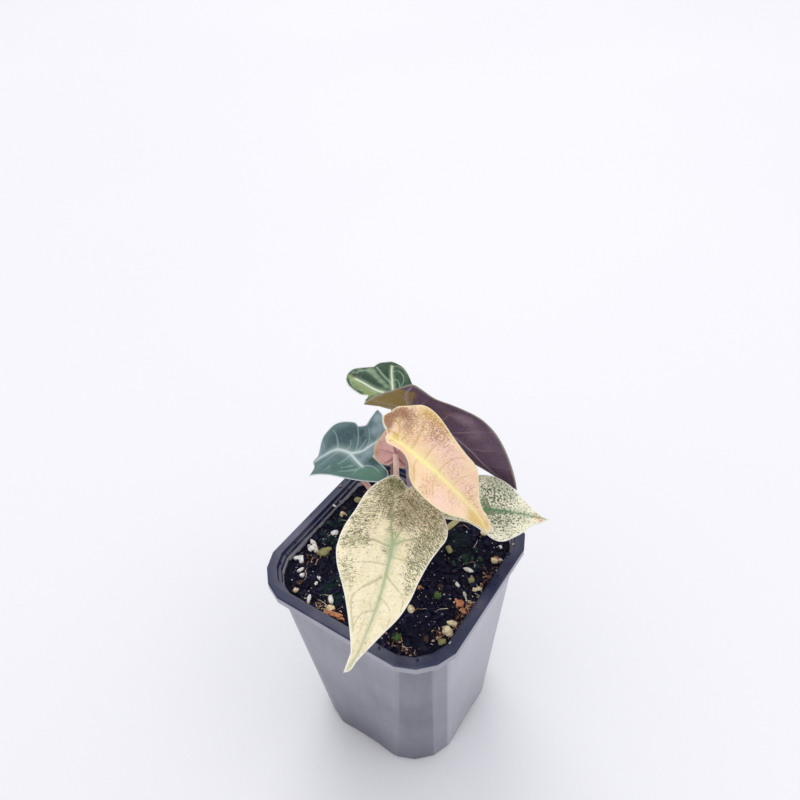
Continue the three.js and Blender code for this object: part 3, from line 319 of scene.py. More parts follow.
# Soft zones of each leaf as (x, y, reach, strength). On the upper face "shade" holds the flecks
# and "flush", "gold" and "dusk" the three tints; "stain" and "bloom" are on the lower face.
ZONES = {
    "front_cream": {
        "shade": [(-17.7, -6.5, 2.9, 1), (-17.9, -3.6, 2.6, 1), (-13, -5.6, 2.5, 0.9),
                  (-9.5, -5.7, 1.9, 0.6), (-7.9, -3.1, 1.2, 0.9), (-3.5, -1.5, 1.2, 0.8),
                  (-14, -9.1, 2.5, 0.75), (-1.8, -11.3, 2.7, 0.6), (2.2, -10.1, 2.3, 0.65),
                  (4.1, -12.6, 2, 0.55), (2.1, -7.4, 1.8, 0.45), (10.5, -10.5, 2.2, 0.4),
                  (13.9, -8.7, 2.2, 0.3), (-13.5, 7, 2.9, 0.8), (-11.1, 10.1, 2.2, 0.65),
                  (-16, 2.2, 2.9, 0.65), (-3.6, 10.4, 3.3, 0.9), (-7.3, 12.4, 2.4, 0.7),
                  (-1, 7.6, 2.7, 0.65), (0.6, 10.1, 2.6, 0.6), (-7.8, 3.1, 3.7, 0.45),
                  (3.6, 7.8, 2.6, 0.5), (4.8, 9.9, 2.3, 0.5), (7.9, 8.2, 2.3, 0.45),
                  (11.9, 8.6, 1.9, 0.35), (-11.8, -1.9, 2.5, 0.6), (-8.4, -0.9, 1.9, 0.5),
                  (2.8, -1, 1.2, 0.8), (-7.2, -9.4, 3.7, 0.5)],
        "flush": [(-14.5, -0.5, 2.9, 0.8), (-12.7, 3.2, 2.9, 0.8), (-9.1, 0.2, 2.5, 0.9),
                  (-5.5, 0.4, 1.9, 0.6), (-8.8, 7.4, 2.8, 0.6), (-8.3, 3.6, 2.8, 0.55),
                  (-8.9, 10.7, 1.8, 0.4), (-5.2, -9.3, 3.3, 0.35), (-1.5, -6.5, 2.7, 0.35),
                  (-9.9, -7.1, 2.2, 0.5)],
        "gold": [(-0.3, 0.5, 2.4, 1), (0, -1.9, 1.5, 0.5), (3.7, 0.8, 1.8, 0.8),
                 (-2.9, 0.6, 1.8, 0.6), (8.4, 1.7, 1.4, 0.55), (12.7, 2, 1.1, 0.5),
                 (17, 2.2, 1.1, 0.4), (19.3, -7.1, 1.4, 0.4), (8.1, -11.1, 1.4, 0.4)],
        "dusk": [(-18.7, -5.8, 2, 1), (-17.7, -3.2, 1.5, 1), (-14.3, -6, 1.4, 0.6),
                 (-10.8, -4.2, 0.9, 0.6), (-7.3, -2.7, 0.8, 0.7), (-3.8, -1.6, 0.7, 0.5),
                 (-14.1, -9.5, 1.3, 0.4)],
        "stain": [(-10, 0, 8, 0.6)],
        "bloom": [(10, 0, 8, 0.5)],
    },
    "center_pink": {
        "shade": [(-9.1, 2.9, 2.7, 0.9), (-8.9, 6.7, 2.4, 0.7), (-5.7, 8.2, 2.9, 0.8),
                  (-2.6, 8.3, 2.3, 0.75), (-1.3, 4.9, 2.3, 0.6), (-0.3, 1.6, 1.8, 0.4),
                  (1.6, 10.7, 2.5, 0.6), (4.2, 9.9, 2.5, 0.65), (6.7, 8.3, 2.3, 0.6),
                  (7, 10.7, 1.7, 0.5), (4, 6.3, 2.6, 0.45), (10.2, 7.5, 2.3, 0.4),
                  (15.7, 4.1, 4.1, 0.3), (25.3, 1.2, 3.1, 0.4), (22.6, 2.7, 2.4, 0.35),
                  (13.1, -3.1, 4.1, 0.35), (11.8, -8.6, 2.9, 0.4), (20.3, -3.8, 3.1, 0.3)],
        "flush": [(10.1, 6.7, 3.4, 0.9), (14.4, 6, 2.9, 0.8), (7.3, 6.5, 2.3, 0.5),
                  (16.6, 1.8, 2.7, 0.6), (21.3, 1.4, 2.7, 0.5), (17, -7.3, 3.7, 0.9),
                  (17, -10.3, 2.6, 0.6), (22.2, -5.2, 3.2, 0.5), (21.8, 4.4, 2.4, 0.6),
                  (-5.9, 3.4, 1.8, 0.4), (5.4, 6.4, 2.3, 0.4), (0.9, 5.8, 1.7, 0.3)],
        "gold": [(-1, 11.6, 2, 0.8), (1.8, 12.3, 1.7, 0.9), (4.8, 11.9, 1.7, 0.9),
                 (8.2, 11, 1.4, 0.7), (1.6, 7.7, 1.4, 0.5), (-2.4, 0.4, 1.5, 0.7),
                 (6.3, -6.2, 2.1, 0.6), (7.6, -9, 1.6, 0.5), (12.1, -9.2, 1.9, 0.4),
                 (30.8, -1.8, 3.1, 0.9), (35.1, -1, 2.4, 1), (27.9, -2.5, 2.3, 0.6),
                 (-3.8, 0.9, 1.2, 0.9)],
        "dusk": [(-9.8, 3.9, 2.1, 1), (-7.5, 2.6, 1.8, 0.9), (-7.8, 5.6, 1.8, 0.7),
                 (-6.2, 7.9, 1.8, 0.8), (-3.8, 7.4, 1.8, 0.6), (-6.6, 0.3, 1.3, 0.7),
                 (-1.8, 5.6, 1.5, 0.4), (-3, 4.3, 1.5, 0.4)],
        "stain": [(-4, 4, 5, 0.5)],
        "bloom": [(12, 0, 8, 0.5)],
    },
    "rear_purple": {
        "shade": [(-8, 0, 6, 0.7), (12, 4, 8, 0.4)],
        "flush": [(10, -6, 8, 0.5)],
        "gold": [(30, 0, 8, 0.3)],
        "dusk": [(6, 3, 6, 0.6), (20, -3, 7, 0.6)],
        "stain": [(-11.5, 6.4, 4.7, 1.1), (-10.9, -1, 4.7, 1.1), (-9.6, -5.5, 4.1, 1.1),
                  (-5.9, -3, 3.2, 1), (-11.8, 9.8, 3.2, 1), (-6.4, 2.4, 4.1, 0.9),
                  (-6.4, -8.5, 2.7, 0.5), (7.4, -7.8, 2.2, 0.5), (2.3, -9.7, 2.2, 0.3)],
        "bloom": [(3.4, -10.3, 3.1, 0.5), (13.8, -9.9, 3.9, 0.8), (10.3, -9.3, 3.1, 0.5),
                  (20.4, -7.7, 3.5, 0.5), (27.3, -5.7, 3, 0.4), (20.6, -3.2, 3.6, 0.4),
                  (35.2, -2, 2.6, 0.3), (13, -0.1, 2.9, 0.3)],
    },
    "left_silver": {
        "shade": [(5.5, 4.2, 3.1, 0.6), (1, 5.2, 2.6, 0.6), (9.7, 4.5, 2, 0.5),
                  (-8.1, 3.4, 1.8, 0.8), (-3.8, -7.2, 1.4, 0.6)],
        "flush": [(-9.4, -11.8, 2.1, 1), (-11, -8.2, 1.7, 0.9), (-10.7, -4.8, 1.7, 1),
                  (-8.2, -7.3, 1.7, 0.8), (-9.4, -2.2, 1.7, 0.8), (-7, 0.1, 2.1, 0.9),
                  (-4.4, 2.2, 1.8, 0.6), (12.3, -3.4, 2.5, 0.5), (14.2, -0.9, 2.1, 0.6),
                  (0.3, 0.5, 1.5, 0.4), (-1.9, -10.1, 1.8, 0.4)],
        "gold": [(-8.7, 7.7, 2.8, 1), (-11.5, 8.1, 2.1, 1), (-5.1, 7.6, 2.5, 0.9),
                 (-1.4, 6.4, 2.5, 0.7), (3.2, 5.8, 3, 0.6), (7.3, 5.5, 2.4, 0.5),
                 (1.3, 3.4, 2.2, 0.5)],
        "dusk": [(1.7, -6.2, 3.3, 1), (5.3, -6.5, 2.6, 0.7), (-0.5, -8.1, 2.2, 0.7),
                 (-3.5, -6.9, 1.6, 1), (-4.7, -4.4, 1.2, 0.7), (8.6, -4.4, 2.3, 0.5),
                 (-8.5, 3.4, 1.6, 1.1), (-10.2, 3.5, 1.2, 0.8), (5.4, 4.9, 2.3, 0.5),
                 (1.3, 5.9, 1.8, 0.4)],
        "stain": [(0, 0, 8, 0.5)],
        "bloom": [(6, -4, 4, 0.5)],
    },
    "back_green": {
        "shade": [(-11.1, -4.8, 3, 0.5), (-8.4, 6.1, 2.9, 0.5)],
        "flush": [(-14, -0.3, 1.6, 1), (-11.2, -0.5, 1.5, 1), (-8.3, -0.3, 1.5, 1),
                  (-5.5, 0, 1.3, 0.9), (-15.6, -0.5, 1.4, 0.8), (-16.8, -3.6, 1.5, 0.8),
                  (-16, -7, 1.3, 0.6), (-7, 9, 2.1, 0.3)],
        "gold": [(-12.8, -9.1, 1.4, 1), (-10.6, -9.3, 1.7, 1), (-8.1, -8.4, 1.7, 1),
                 (-6.1, -7.2, 1.7, 1), (-4.1, -6, 1.6, 1), (-4.1, -8.9, 1.6, 0.8),
                 (-14.5, -9.2, 1.3, 0.8)],
        "dusk": [(-11.1, -4.8, 2.6, 1.1), (-7.7, -4.5, 2.3, 1.1), (-13.2, -5.9, 2, 0.9),
                 (-13.9, -7.6, 1.3, 0.7), (-11.4, 3, 1.9, 1.1), (-13.2, 3, 1.5, 0.9),
                 (-8.9, 3, 1.3, 0.7), (-6.1, -3, 1.9, 0.8)],
        "stain": [(4, 0, 9, 0.4)],
        "bloom": [(8, 4, 4, 0.5)],
    },
    "right_speckled": {
        "shade": [(6.4, 6.9, 1.9, 0.8), (8.6, 4.7, 2.3, 0.7), (11, 3, 2.3, 0.5),
                  (13.6, 2.6, 2.3, 0.4), (7.8, -2.8, 2.2, 0.7), (10.9, -3.3, 2.2, 0.7),
                  (13.5, -2.9, 2.2, 0.6), (16.2, -2.1, 1.8, 0.6), (18.9, -1.2, 1.5, 0.5),
                  (10.7, 8.6, 2.6, 0.35), (14, 6.6, 2.6, 0.3), (9.2, -6.7, 2.8, 0.35),
                  (13.2, -6.9, 2.8, 0.3)],
        "flush": [(24.9, -0.3, 2.3, 1.2), (22.5, 0.3, 1.4, 0.5)],
        "gold": [(10.7, 8.2, 3.9, 0.8), (14.7, 5.7, 2.9, 0.7), (7.5, 9.6, 2.6, 0.6)],
        "dusk": [(5.5, 2.8, 1.3, 1.2), (6.8, 1.6, 1.3, 1), (6.1, 4.2, 1, 0.7),
                 (7.2, -0.4, 1.4, 1.1), (9.1, -0.3, 1.2, 1), (11.1, -0.1, 1.1, 1),
                 (13, 0, 1.1, 0.9), (15, -0.3, 0.9, 0.8), (17.3, -0.1, 0.9, 0.7),
                 (19.7, 0.1, 0.7, 0.5)],
        "stain": [(4, 0, 8, 0.4)],
        "bloom": [(12, 0, 6, 0.5)],
    },
    "young_pink": {
        "shade": [(3, 0, 5, 0.5)],
        "flush": [(6, 0, 4, 0.5)],
        "gold": [(0, 0, 3, 0.5)],
        "dusk": [(4, 2, 3, 0.5)],
        "stain": [(1, -6.6, 2.2, 0.7), (5, -5, 2, 0.5)],
        "bloom": [(4, 0, 4, 0.6)],
    },
}

# What lies on the mix: kind, x, y, length, width, height in millimetres, and turn in degrees.
CHIPS = [
    ("husk", -27.8, -11.1, 6.5, 2, 1.8, -35), ("perlite", -28.2, -12.5, 3.3, 1.7, 1.4, -35),
    ("perlite", -25, -2.9, 2.4, 2.2, 1.6, 55), ("olive", -23, -11, 5.4, 3.3, 2.6, 50),
    ("perlite", -28.4, -17.5, 4, 1.8, 1.4, -45), ("husk", -25.5, -21.4, 2.5, 1.3, 1.2, 65),
    ("husk", -23.7, -22.6, 2.1, 1.6, 1.3, 55), ("husk", -17.8, -20.7, 2.6, 1.1, 1.1, -20),
    ("husk", -15.5, -29.1, 3.7, 1.3, 1.3, -60), ("husk", -9.3, -25.5, 3.4, 1.7, 1.5, -45),
    ("cream", -7.5, -28.3, 3.1, 2, 1.8, 40), ("bark", -4.6, -29.6, 6.6, 1.7, 1.4, 10),
    ("olive", 13.3, 11.8, 3.6, 2, 1.8, -45), ("husk", 23, 7.9, 3.5, 1.6, 1.4, 5),
    ("husk", 29.4, 17.6, 2.8, 1.4, 1.3, 25), ("cream", 28.4, 15.8, 2.5, 2, 1.8, 10),
    ("bark", 29.2, 17.4, 2.9, 2.1, 1.8, -40), ("husk", 22.4, 1.4, 2.6, 1.2, 1.1, -25),
    ("olive", 26, 4.6, 2.2, 2.1, 1.7, -15), ("moss", 19.6, -6.2, 2.1, 2.1, 1.6, 0),
    ("bark", 26.7, -4.9, 3.4, 2.2, 2, -35), ("husk", 27, -1.4, 3.5, 1.1, 1.1, -45),
    ("cream", 15.1, -15, 2.2, 2.2, 1.8, 0), ("bark", 13, -6.7, 1.4, 1.4, 1.2, 0),
    ("cream", 29.4, 2.6, 3.1, 1.5, 1.4, 50), ("cream", 28.4, -12.3, 3.3, 1.7, 1.6, 20),
    ("cream", 28.9, -15.6, 3.2, 3.2, 2.6, 0), ("moss", 16.8, -25.8, 2.2, 2, 1.5, 20),
    ("olive", 29.4, -19.6, 2.7, 2.1, 1.5, 55), ("perlite", -29.7, -17.9, 2.4, 1.8, 1.4, 65),
    ("cream", -21.3, -28.9, 2.2, 1.5, 1.4, 65), ("husk", -17.3, -23.1, 1.5, 1.1, 1, -75),
    ("bark", 29, -6.3, 4.2, 1.3, 1.2, -40), ("cream", -27.6, 5.4, 2.6, 2, 1.7, 0),
    ("olive", -27.4, 14.4, 2.9, 2.4, 2, 0), ("bark", -25.4, 20, 3.6, 2.2, 1.8, 40),
    ("perlite", -17, 25, 2.3, 1.8, 1.5, 0), ("husk", -4, 27, 3, 1.4, 1.2, 15),
    ("bark", 9, 25.6, 3.8, 2.4, 1.9, 70), ("cream", 20, 24.4, 2.4, 1.9, 1.6, 10),
    ("perlite", 27.4, 22, 2, 1.6, 1.4, 30), ("bark", -14, 12, 3.6, 2, 1.6, 20),
]


def tone(code, alpha=1.0):
    """A linear colour from six hexadecimal digits of a screen colour."""
    parts = [int(code[i:i + 2], 16) / 255 for i in (0, 2, 4)]
    linear = [c / 12.92 if c <= 0.04045 else ((c + 0.055) / 1.055) ** 2.4 for c in parts]
    return (*linear, alpha)


def colour_setting(name, description, code):
    """A colour that a user can change."""
    return FloatVectorProperty(name=name, description=description, subtype="COLOR", size=4,
                               min=0.0, max=1.0, default=tone(code))


def length_setting(name, description, metres):
    """A length that a user can change."""
    return FloatProperty(name=name, description=description, unit="LENGTH", min=0.0,
                         default=metres)


def share_setting(name, description, share):
    """A number from 0 to 1 that a user can change."""
    return FloatProperty(name=name, description=description, subtype="FACTOR", min=0.0, max=1.0,
                         default=share)


class MaskPlantPotSettings(bpy.types.PropertyGroup):
    """Sizes and colours of the nursery pot."""

    wall: colour_setting("Wall", "Colour of the outer wall", "46465A")
    rim: colour_setting("Rim", "Colour of the folded rim and the inside", "121A42")
    dust_and_sheen: colour_setting("Dust", "Colour of the dried water haze", "C4C4CE")
    edge: length_setting("Edge radius", "Rounding of the moulded edges", 0.00035)
    roughness: share_setting("Roughness", "Roughness of the moulded plastic", 0.34)


class MaskPlantMixSettings(bpy.types.PropertyGroup):
    """Colours and grain counts of the potting mix."""

    bed: colour_setting("Bed", "Colour of the wet peat and bark", "070720")
    crumb: colour_setting("Crumb", "Colour of the lighter crumbs", "1C1A3E")
    perlite: colour_setting("Perlite", "Colour of the perlite", "F2EEE6")
    cream: colour_setting("Pebble", "Colour of the cream pebbles", "F0D2A8")
    husk: colour_setting("Husk", "Colour of the pale husk sticks", "F6ECDC")
    bark: colour_setting("Bark", "Colour of the bark nuggets", "C07A4A")
    olive: colour_setting("Prill", "Colour of the feed prills", "8A8650")
    moss: colour_setting("Moss", "Colour of the moss", "2E5A1C")
    moss_tip: colour_setting("Moss tip", "Colour of the paler moss hairs", "93A850")
    tinge: colour_setting("Green tinge", "Green growth on the wet mix", "143A30")
    crumb_tinge: colour_setting("Crumb tinge", "Green growth on the crumbs", "1A4636")
    brown: colour_setting("Brown crumb", "Colour of a few brown crumbs", "4A3630")
    grit: colour_setting("Grit", "Colour of the fine grit on the crumbs", "3A3852")
    dim_speck: colour_setting("Dim speck", "Colour of the dimmer specks", "6E6A80")
    rim_crumb: colour_setting("Rim crumb", "Colour of the browner rim crumbs", "7A5A44")
    old_fibre: colour_setting("Old fibre", "Colour of the darker fibres", "9A7A5A")
    dark_litter: colour_setting("Dark litter", "Colour of the darkest litter", "3A2428")
    red_litter: colour_setting("Red litter", "Colour of the reddish litter", "8E5A40")
    pale_litter: colour_setting("Pale litter", "Colour of the paler litter", "C8A078")
    crumbs: IntProperty(name="Crumbs", description="Number of loose crumbs", default=2200, min=0)
    specks: IntProperty(name="Specks", description="Number of pale specks", default=620, min=0)
    seed: IntProperty(name="Seed", description="Seed of the scatter", default=7, min=0)


class MaskPlantStalkSettings(bpy.types.PropertyGroup):
    """Sizes and colours of the stalks and the stock."""

    base_radius: length_setting("Base radius", "Radius of a stalk at its foot", 0.00135)
    top_radius: length_setting("Top radius", "Radius of a stalk at its leaf", 0.00095)
    foot: colour_setting("Foot", "Colour near the mix", "C88890")
    mottle: colour_setting("Mottle", "Colour of the fine dashes", "8E5460")
    stock: colour_setting("Stock", "Colour of the short stock", "7A6A44")
    sheath: colour_setting("Sheath", "Colour of the dry sheaths", "C9A58C")


LEAF_COLOURS = {
    "ground": "Main colour of the upper face",
    "second": "Mottling of the upper face",
    "flush": "Second tint of the upper face",
    "gold": "Third tint of the upper face",
    "dusk": "Dark tint of the upper face",
    "speckle": "Flecks of the upper face",
    "vein": "Midrib and back ribs",
    "side": "Side veins",
    "margin": "Thin line at the margin",
    "under": "Main colour of the lower face",
    "stain": "Second colour of the lower face",
    "bloom": "Pale bloom of the lower face",
    "under_vein": "Veins of the lower face",
    "stalk": "Upper part of the stalk",
}
LEAF_NUMBERS = {
    "density": "How much of the face the flecks cover outside their zones",
    "mottle": "How clearly the fine mottling shows",
    "contrast": "How clearly the side veins show",
    "roughness": "Roughness of the waxy skin",
    "lace": "How much the flecks run together into thin wavy lines",
    "clump": "How much the mottling gathers into coarse clumps",
}

# Colours in the order of LEAF_COLOURS, then the numbers in the order of LEAF_NUMBERS.
LEAF_LOOKS = {
    "front_cream": (
        "FFF3D2 E6D8AC C8B696 C8D2A8 7C7A44 4E5630 A6B68E 9A9C70 FFFDF2 D9D2A8 B8BC90 E6E0BC "
        "E6E0BC E2D4A6", (0.15, 0.7, 0.65, 0.46, 1.0, 0.0)),
    "center_pink": (
        "FFE2C0 F8C8A0 FFD8C8 DCBC68 7C5844 965E44 FCF2A6 BC9A48 F8ECBC D8A888 B07A5A E8C4A8 "
        "E8D090 B49AA8", (0.05, 0.65, 0.5, 0.42, 0.5, 0.0)),
    "rear_purple": (
        "2C4A38 3A5A44 4E6A50 5A7048 20382C 1C3226 C8D4A8 A8BC94 A8A494 665066 A08A44 A68EA0 "
        "AC98A0 8A6A70", (0.1, 0.4, 0.8, 0.36, 0.0, 0.0)),
    "left_silver": (
        "54706E 648082 98AAB4 55826A 324C52 2C484A CFDEDE 9CB4B4 D4DEDA 5A3A4A 6E5060 7C6474 "
        "9A8490 E8BCB0", (0.1, 0.5, 0.6, 0.34, 0.0, 0.0)),
    "back_green": (
        "1E4028 2A4E34 8A9E80 94A468 022C16 0E3420 D4E2C2 98B494 F0F4E6 5A3A48 6E4C58 7C6470 "
        "9A7E88 9C8A6C", (0.2, 0.5, 0.65, 0.42, 0.0, 0.0)),
    "right_speckled": (
        "FBF6DC BCBE9C FAD0B4 BABDA4 3C6634 34502C 5C8A5C C0C0A0 FAF6E8 D6CEB0 C0BA9C E0DCC4 "
        "E4DEC4 E6DEA8", (0.15, 0.95, 0.25, 0.46, 0.0, 1.0)),
    "young_pink": (
        "B8825E A87450 D09884 B89A50 6A5030 6A5030 E6C08C D0A070 E4CFA4 F0BAB8 D0A878 F6D2CE "
        "94545E F2D0C2", (0.2, 0.4, 0.6, 0.4, 0.0, 0.0)),
}


def leaf_settings(name, tones, numbers):
    """A property group for one leaf with its own default colours and numbers."""
    fields = {}
    for (key, words), code in zip(LEAF_COLOURS.items(), tones.split()):
        fields[key] = colour_setting(key.replace("_", " ").capitalize(), words, code)
    for (key, words), number in zip(LEAF_NUMBERS.items(), numbers):
        fields[key] = share_setting(key.capitalize(), words, number)
    title = name.replace("_", " ")
    body = {"__annotations__": fields, "__doc__": f"Colours of the {title} leaf."}
    return type(f"MaskPlantLeaf{title.title().replace(' ', '')}", (bpy.types.PropertyGroup,), body)


class MaskPlantStageSettings(bpy.types.PropertyGroup):
    """The floor, the lights and the camera."""

    floor: colour_setting("Floor", "Colour of the pale floor", "EFEFF2")
    air: colour_setting("Air", "Colour of the even light", "FBFBFF")
    sky: FloatProperty(name="Ambient", description="Strength of the even light", default=0.92,
                       min=0.0)
    key: FloatProperty(name="Key light", description="Power of the large soft light", unit="POWER",
                       default=15.0, min=0.0)
    camera: FloatVectorProperty(name="Camera", description="Place of the camera", unit="LENGTH",
                                subtype="TRANSLATION", size=3,
                                default=(0.0956, -0.1258, 0.2818))
    turn: FloatProperty(name="Turn", description="Heading of the camera", unit="ROTATION",
                        default=math.radians(35.8))
    tilt: FloatProperty(name="Tilt", description="How far the camera looks down",
                        unit="ROTATION", default=math.radians(39.52))
    roll: FloatProperty(name="Roll", description="Roll of the camera", unit="ROTATION",
                        default=math.radians(-3.49))
    lens: FloatProperty(name="Lens", description="Focal length in millimetres", default=32.85)


class Value:
    """A socket's number or colour that can stand in a plain sum."""

    def __init__(self, finish, socket):
        self.finish = finish
        self.socket = socket

    def sum(self, operation, first, second, clamp=False):
        how = {"operation": operation, "use_clamp": clamp}
        return self.finish.node("ShaderNodeMath", how, {0: first, 1: second})

    def __add__(self, other):
        return self.sum("ADD", self, other)

    def __radd__(self, other):
        return self.sum("ADD", other, self)

    def __sub__(self, other):
        return self.sum("SUBTRACT", self, other)

    def __rsub__(self, other):
        return self.sum("SUBTRACT", other, self)

    def __mul__(self, other):
        return self.sum("MULTIPLY", self, other)

    def __rmul__(self, other):
        return self.sum("MULTIPLY", other, self)

    def clip(self):
        """The number held between 0 and 1."""
        return self.sum("ADD", self, 0.0, True)

    def step(self, low, high):
        """A smooth step from 0 at low to 1 at high."""
        how = {"interpolation_type": "SMOOTHSTEP"}
        return self.finish.node("ShaderNodeMapRange", how,
                                {"Value": self, "From Min": low, "From Max": high})


class Finish:
    """A material whose colour and relief are written as sums of values."""

    def __init__(self, name, **shader):
        self.material = bpy.data.materials.new(name)
        self.material.use_nodes = True
        self.tree = self.material.node_tree
        self.shader = self.tree.nodes["Principled BSDF"]
        self.place = self.node("ShaderNodeTexCoord", {}, {}, "Object")
        for key, value in shader.items():
            self.set(key.replace("_", " ").title().replace("Ior", "IOR"), value)

    def feed(self, socket, value):
        if isinstance(value, Value):
            self.tree.links.new(value.socket, socket)
        else:
            socket.default_value = value

    def node(self, kind, setup, sockets, output=0):
        """Adds a node, sets it up, feeds its sockets and hands back one output."""
        made = self.tree.nodes.new(kind)
        for key, value in setup.items():
            setattr(made, key, value)
        for key, value in sockets.items():
            self.feed(made.inputs[key], value)
        return Value(self, made.outputs[output])

    def set(self, socket, value):
        self.feed(self.shader.inputs[socket], value)

    def own(self, name):
        """A number that the piece's mesh carries at each point."""
        return self.node("ShaderNodeAttribute", {"attribute_name": name}, {}, "Fac")

    def scaled(self, source, factors):
        return self.node("ShaderNodeVectorMath", {"operation": "MULTIPLY"},
                         {0: source, 1: factors})

    def noise(self, scale, detail=2.0, roughness=0.5, source=None, stretch=None):
        source = source or self.place
        if stretch:
            source = self.scaled(source, stretch)
        return self.node("ShaderNodeTexNoise", {},
                         {"Vector": source, "Scale": scale, "Detail": detail,
                          "Roughness": roughness})

    def cells(self, scale, source=None, feature="F1"):
        return self.node("ShaderNodeTexVoronoi", {"feature": feature},
                         {"Vector": source or self.place, "Scale": scale}, "Distance")

    def mix(self, share, first, second):
        """The first colour where share is 0 and the second where it is 1."""
        return self.node("ShaderNodeMix", {"data_type": "RGBA", "clamp_factor": True},
                         {0: share, 6: first, 7: second}, 2)

    def relief(self, height, distance):
        """Turns a height from 0 to 1 into bumps of a real depth in metres."""
        self.set("Normal", self.node("ShaderNodeBump", {},
                                     {"Height": height, "Distance": distance,
                                      "Strength": 1.0}))

    def near(self, x, y, reach):
        """1 at a place on the mix, in metres, falling to 0 at its reach."""
        away = self.node("ShaderNodeVectorMath", {"operation": "DISTANCE"},
                         {0: self.scaled(self.place, (1.0, 1.0, 0.0)), 1: (x, y, 0.0)}, "Value")
        return 1 - away.step(reach * 0.3, reach)

    def size_of(self, value):
        return self.node("ShaderNodeMath", {"operation": "ABSOLUTE"}, {0: value})

    def apart(self, source, axis):
        return self.node("ShaderNodeSeparateXYZ", {}, {0: source}, axis)


def settings():
    """Where the add-on's groups of settings are kept."""
    return bpy.context.scene


def clear_selection():
    """Leaves edit mode and selects nothing."""
    if bpy.context.mode != "OBJECT":
        bpy.ops.object.mode_set(mode="OBJECT")
    bpy.ops.object.select_all(action="DESELECT")


def take(piece):
    """Selects one piece alone and makes it active."""
    clear_selection()
    piece.select_set(True)
    bpy.context.view_layer.objects.active = piece
    return piece


def added(name):
    """Names the primitive that an operator has just added, with its place in its mesh."""
    piece = bpy.context.object
    piece.name = name
    piece.data.name = name
    bpy.ops.object.transform_apply(location=True, rotation=True, scale=True)
    return piece


def modify(piece, kind, **values):
    """Adds a modifier and applies it."""
    take(piece)
    modifier = piece.modifiers.new(kind.title(), kind)
    for key, value in values.items():
        setattr(modifier, key, value)
    bpy.ops.object.modifier_apply(modifier=modifier.name)


def smooth(piece, degrees):
    """Smooths the edges that bend less than an angle."""
    take(piece)
    bpy.ops.object.shade_smooth_by_angle(angle=math.radians(degrees))


def from_arrays(name, points, faces, smooth_faces=True):
    """A piece from points in metres and faces."""
    mesh = bpy.data.meshes.new(name)
    mesh.from_pydata([tuple(p) for p in points], [], faces)
    if smooth_faces:
        mesh.shade_smooth()
    piece = bpy.data.objects.new(name, mesh)
    bpy.context.collection.objects.link(piece)
    return piece


def carry(piece, name, values):
    """Stores one number at each point of the piece's mesh."""
    attribute = piece.data.attributes.new(name, "FLOAT", "POINT")
    attribute.data.foreach_set("value", np.asarray(values, dtype=np.float32))


def dress(piece, finish, slot, *nodes):
    """Gives a piece its finish, its body, its slot and the nodes that it stands for."""
    piece.data.materials.clear()
    piece.data.materials.append(finish.material)
    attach(piece, "root")
    if nodes:
        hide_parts(*nodes)


def copied_node(node, name):
    """A merged copy of a solid, ready to be refined."""
    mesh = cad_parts[node].data.copy()
    mesh.materials.clear()
    piece = bpy.data.objects.new(name, mesh)
    bpy.context.collection.objects.link(piece)
    take(piece)
    bpy.ops.object.mode_set(mode="EDIT")
    bpy.ops.mesh.select_all(action="SELECT")
    bpy.ops.mesh.remove_doubles(threshold=1e-6)
    bpy.ops.mesh.dissolve_limited(angle_limit=math.radians(0.6))
    bpy.ops.object.mode_set(mode="OBJECT")
    return piece


def cut_square(half, cut):
    """The corners of a square whose corners are cut by three flat facets."""
    near = half - cut * CORNER_NEAR
    far = half - cut * CORNER_FAR
    corner = [(half, half - cut), (far, near), (near, far), (half - cut, half)]
    ring = []
    for quarter in range(4):
        turn = Matrix.Rotation(quarter * math.pi / 2, 2)
        ring += [turn @ Vector(point) for point in corner]
    return ring


def ring_reach(ring, angle):
    """Distance from the axis to a closed ring of points, at an angle."""
    way = Vector((math.cos(angle), math.sin(angle)))
    for a, b in zip(ring, ring[1:] + ring[:1]):
        edge = b - a
        across = way.cross(edge)
        if abs(across) > 1e-12:
            along = a.cross(edge) / across
            place = a.cross(way) / across
            if along > 0 and -1e-9 <= place <= 1 + 1e-9:
                return along
    raise ValueError("the ray misses the ring")


def body_at(z):
    """Half width and corner cut of the pot's body at a height."""
    share = z / (POT_HEIGHT - 1)
    half = BODY_FOOT_HALF + (BODY_TOP_HALF - BODY_FOOT_HALF) * share
    cut = BODY_FOOT_CUT + (BODY_TOP_CUT - BODY_FOOT_CUT) * share
    return half, cut


def mix_relief(x, y):
    """Slow swells of the mix with a low mound at the stock, as in the part's source."""
    swell = math.sin(x * 0.21 + 1.3) * math.cos(y * 0.17 - 0.4)
    lump = math.sin(x * 0.83 + y * 0.31) * math.sin(y * 0.77 - x * 0.22 + 2)
    mound = math.exp(-((x - STOCK_X) ** 2 + (y - STOCK_Y) ** 2) / MOUND_SPREAD)
    return MIX_ROUGHNESS * (0.5 * swell + 0.45 * lump) + MOUND_HEIGHT * mound


def mix_height(x, y):
    """Height of the mix in millimetres, with its crumbs."""
    fine = noise.fractal(Vector((x * 0.55, y * 0.55, 3)), 1.0, 2.0, 4)
    crumb = 0.5 - noise.cell_vector(Vector((x * 0.7, y * 0.7, 1))).x
    return MIX_LEVEL + mix_relief(x, y) + 0.5 * fine + 0.25 * crumb


def tube_faces(start, rings, sides, clockwise=False):
    """Faces of a closed tube whose rings of points follow each other from a first index."""
    first = tuple(range(start, start + sides))
    last = tuple(index + (rings - 1) * sides for index in first)
    faces = [first if clockwise else first[::-1]]
    for ring in range(rings - 1):
        for k in range(sides):
            a = start + ring * sides + k
            b = start + ring * sides + (k + 1) % sides
            quad = (a, a + sides, b + sides, b) if clockwise else (a, b, b + sides, a + sides)
            faces.append(quad)
    faces.append(last[::-1] if clockwise else last)
    return faces


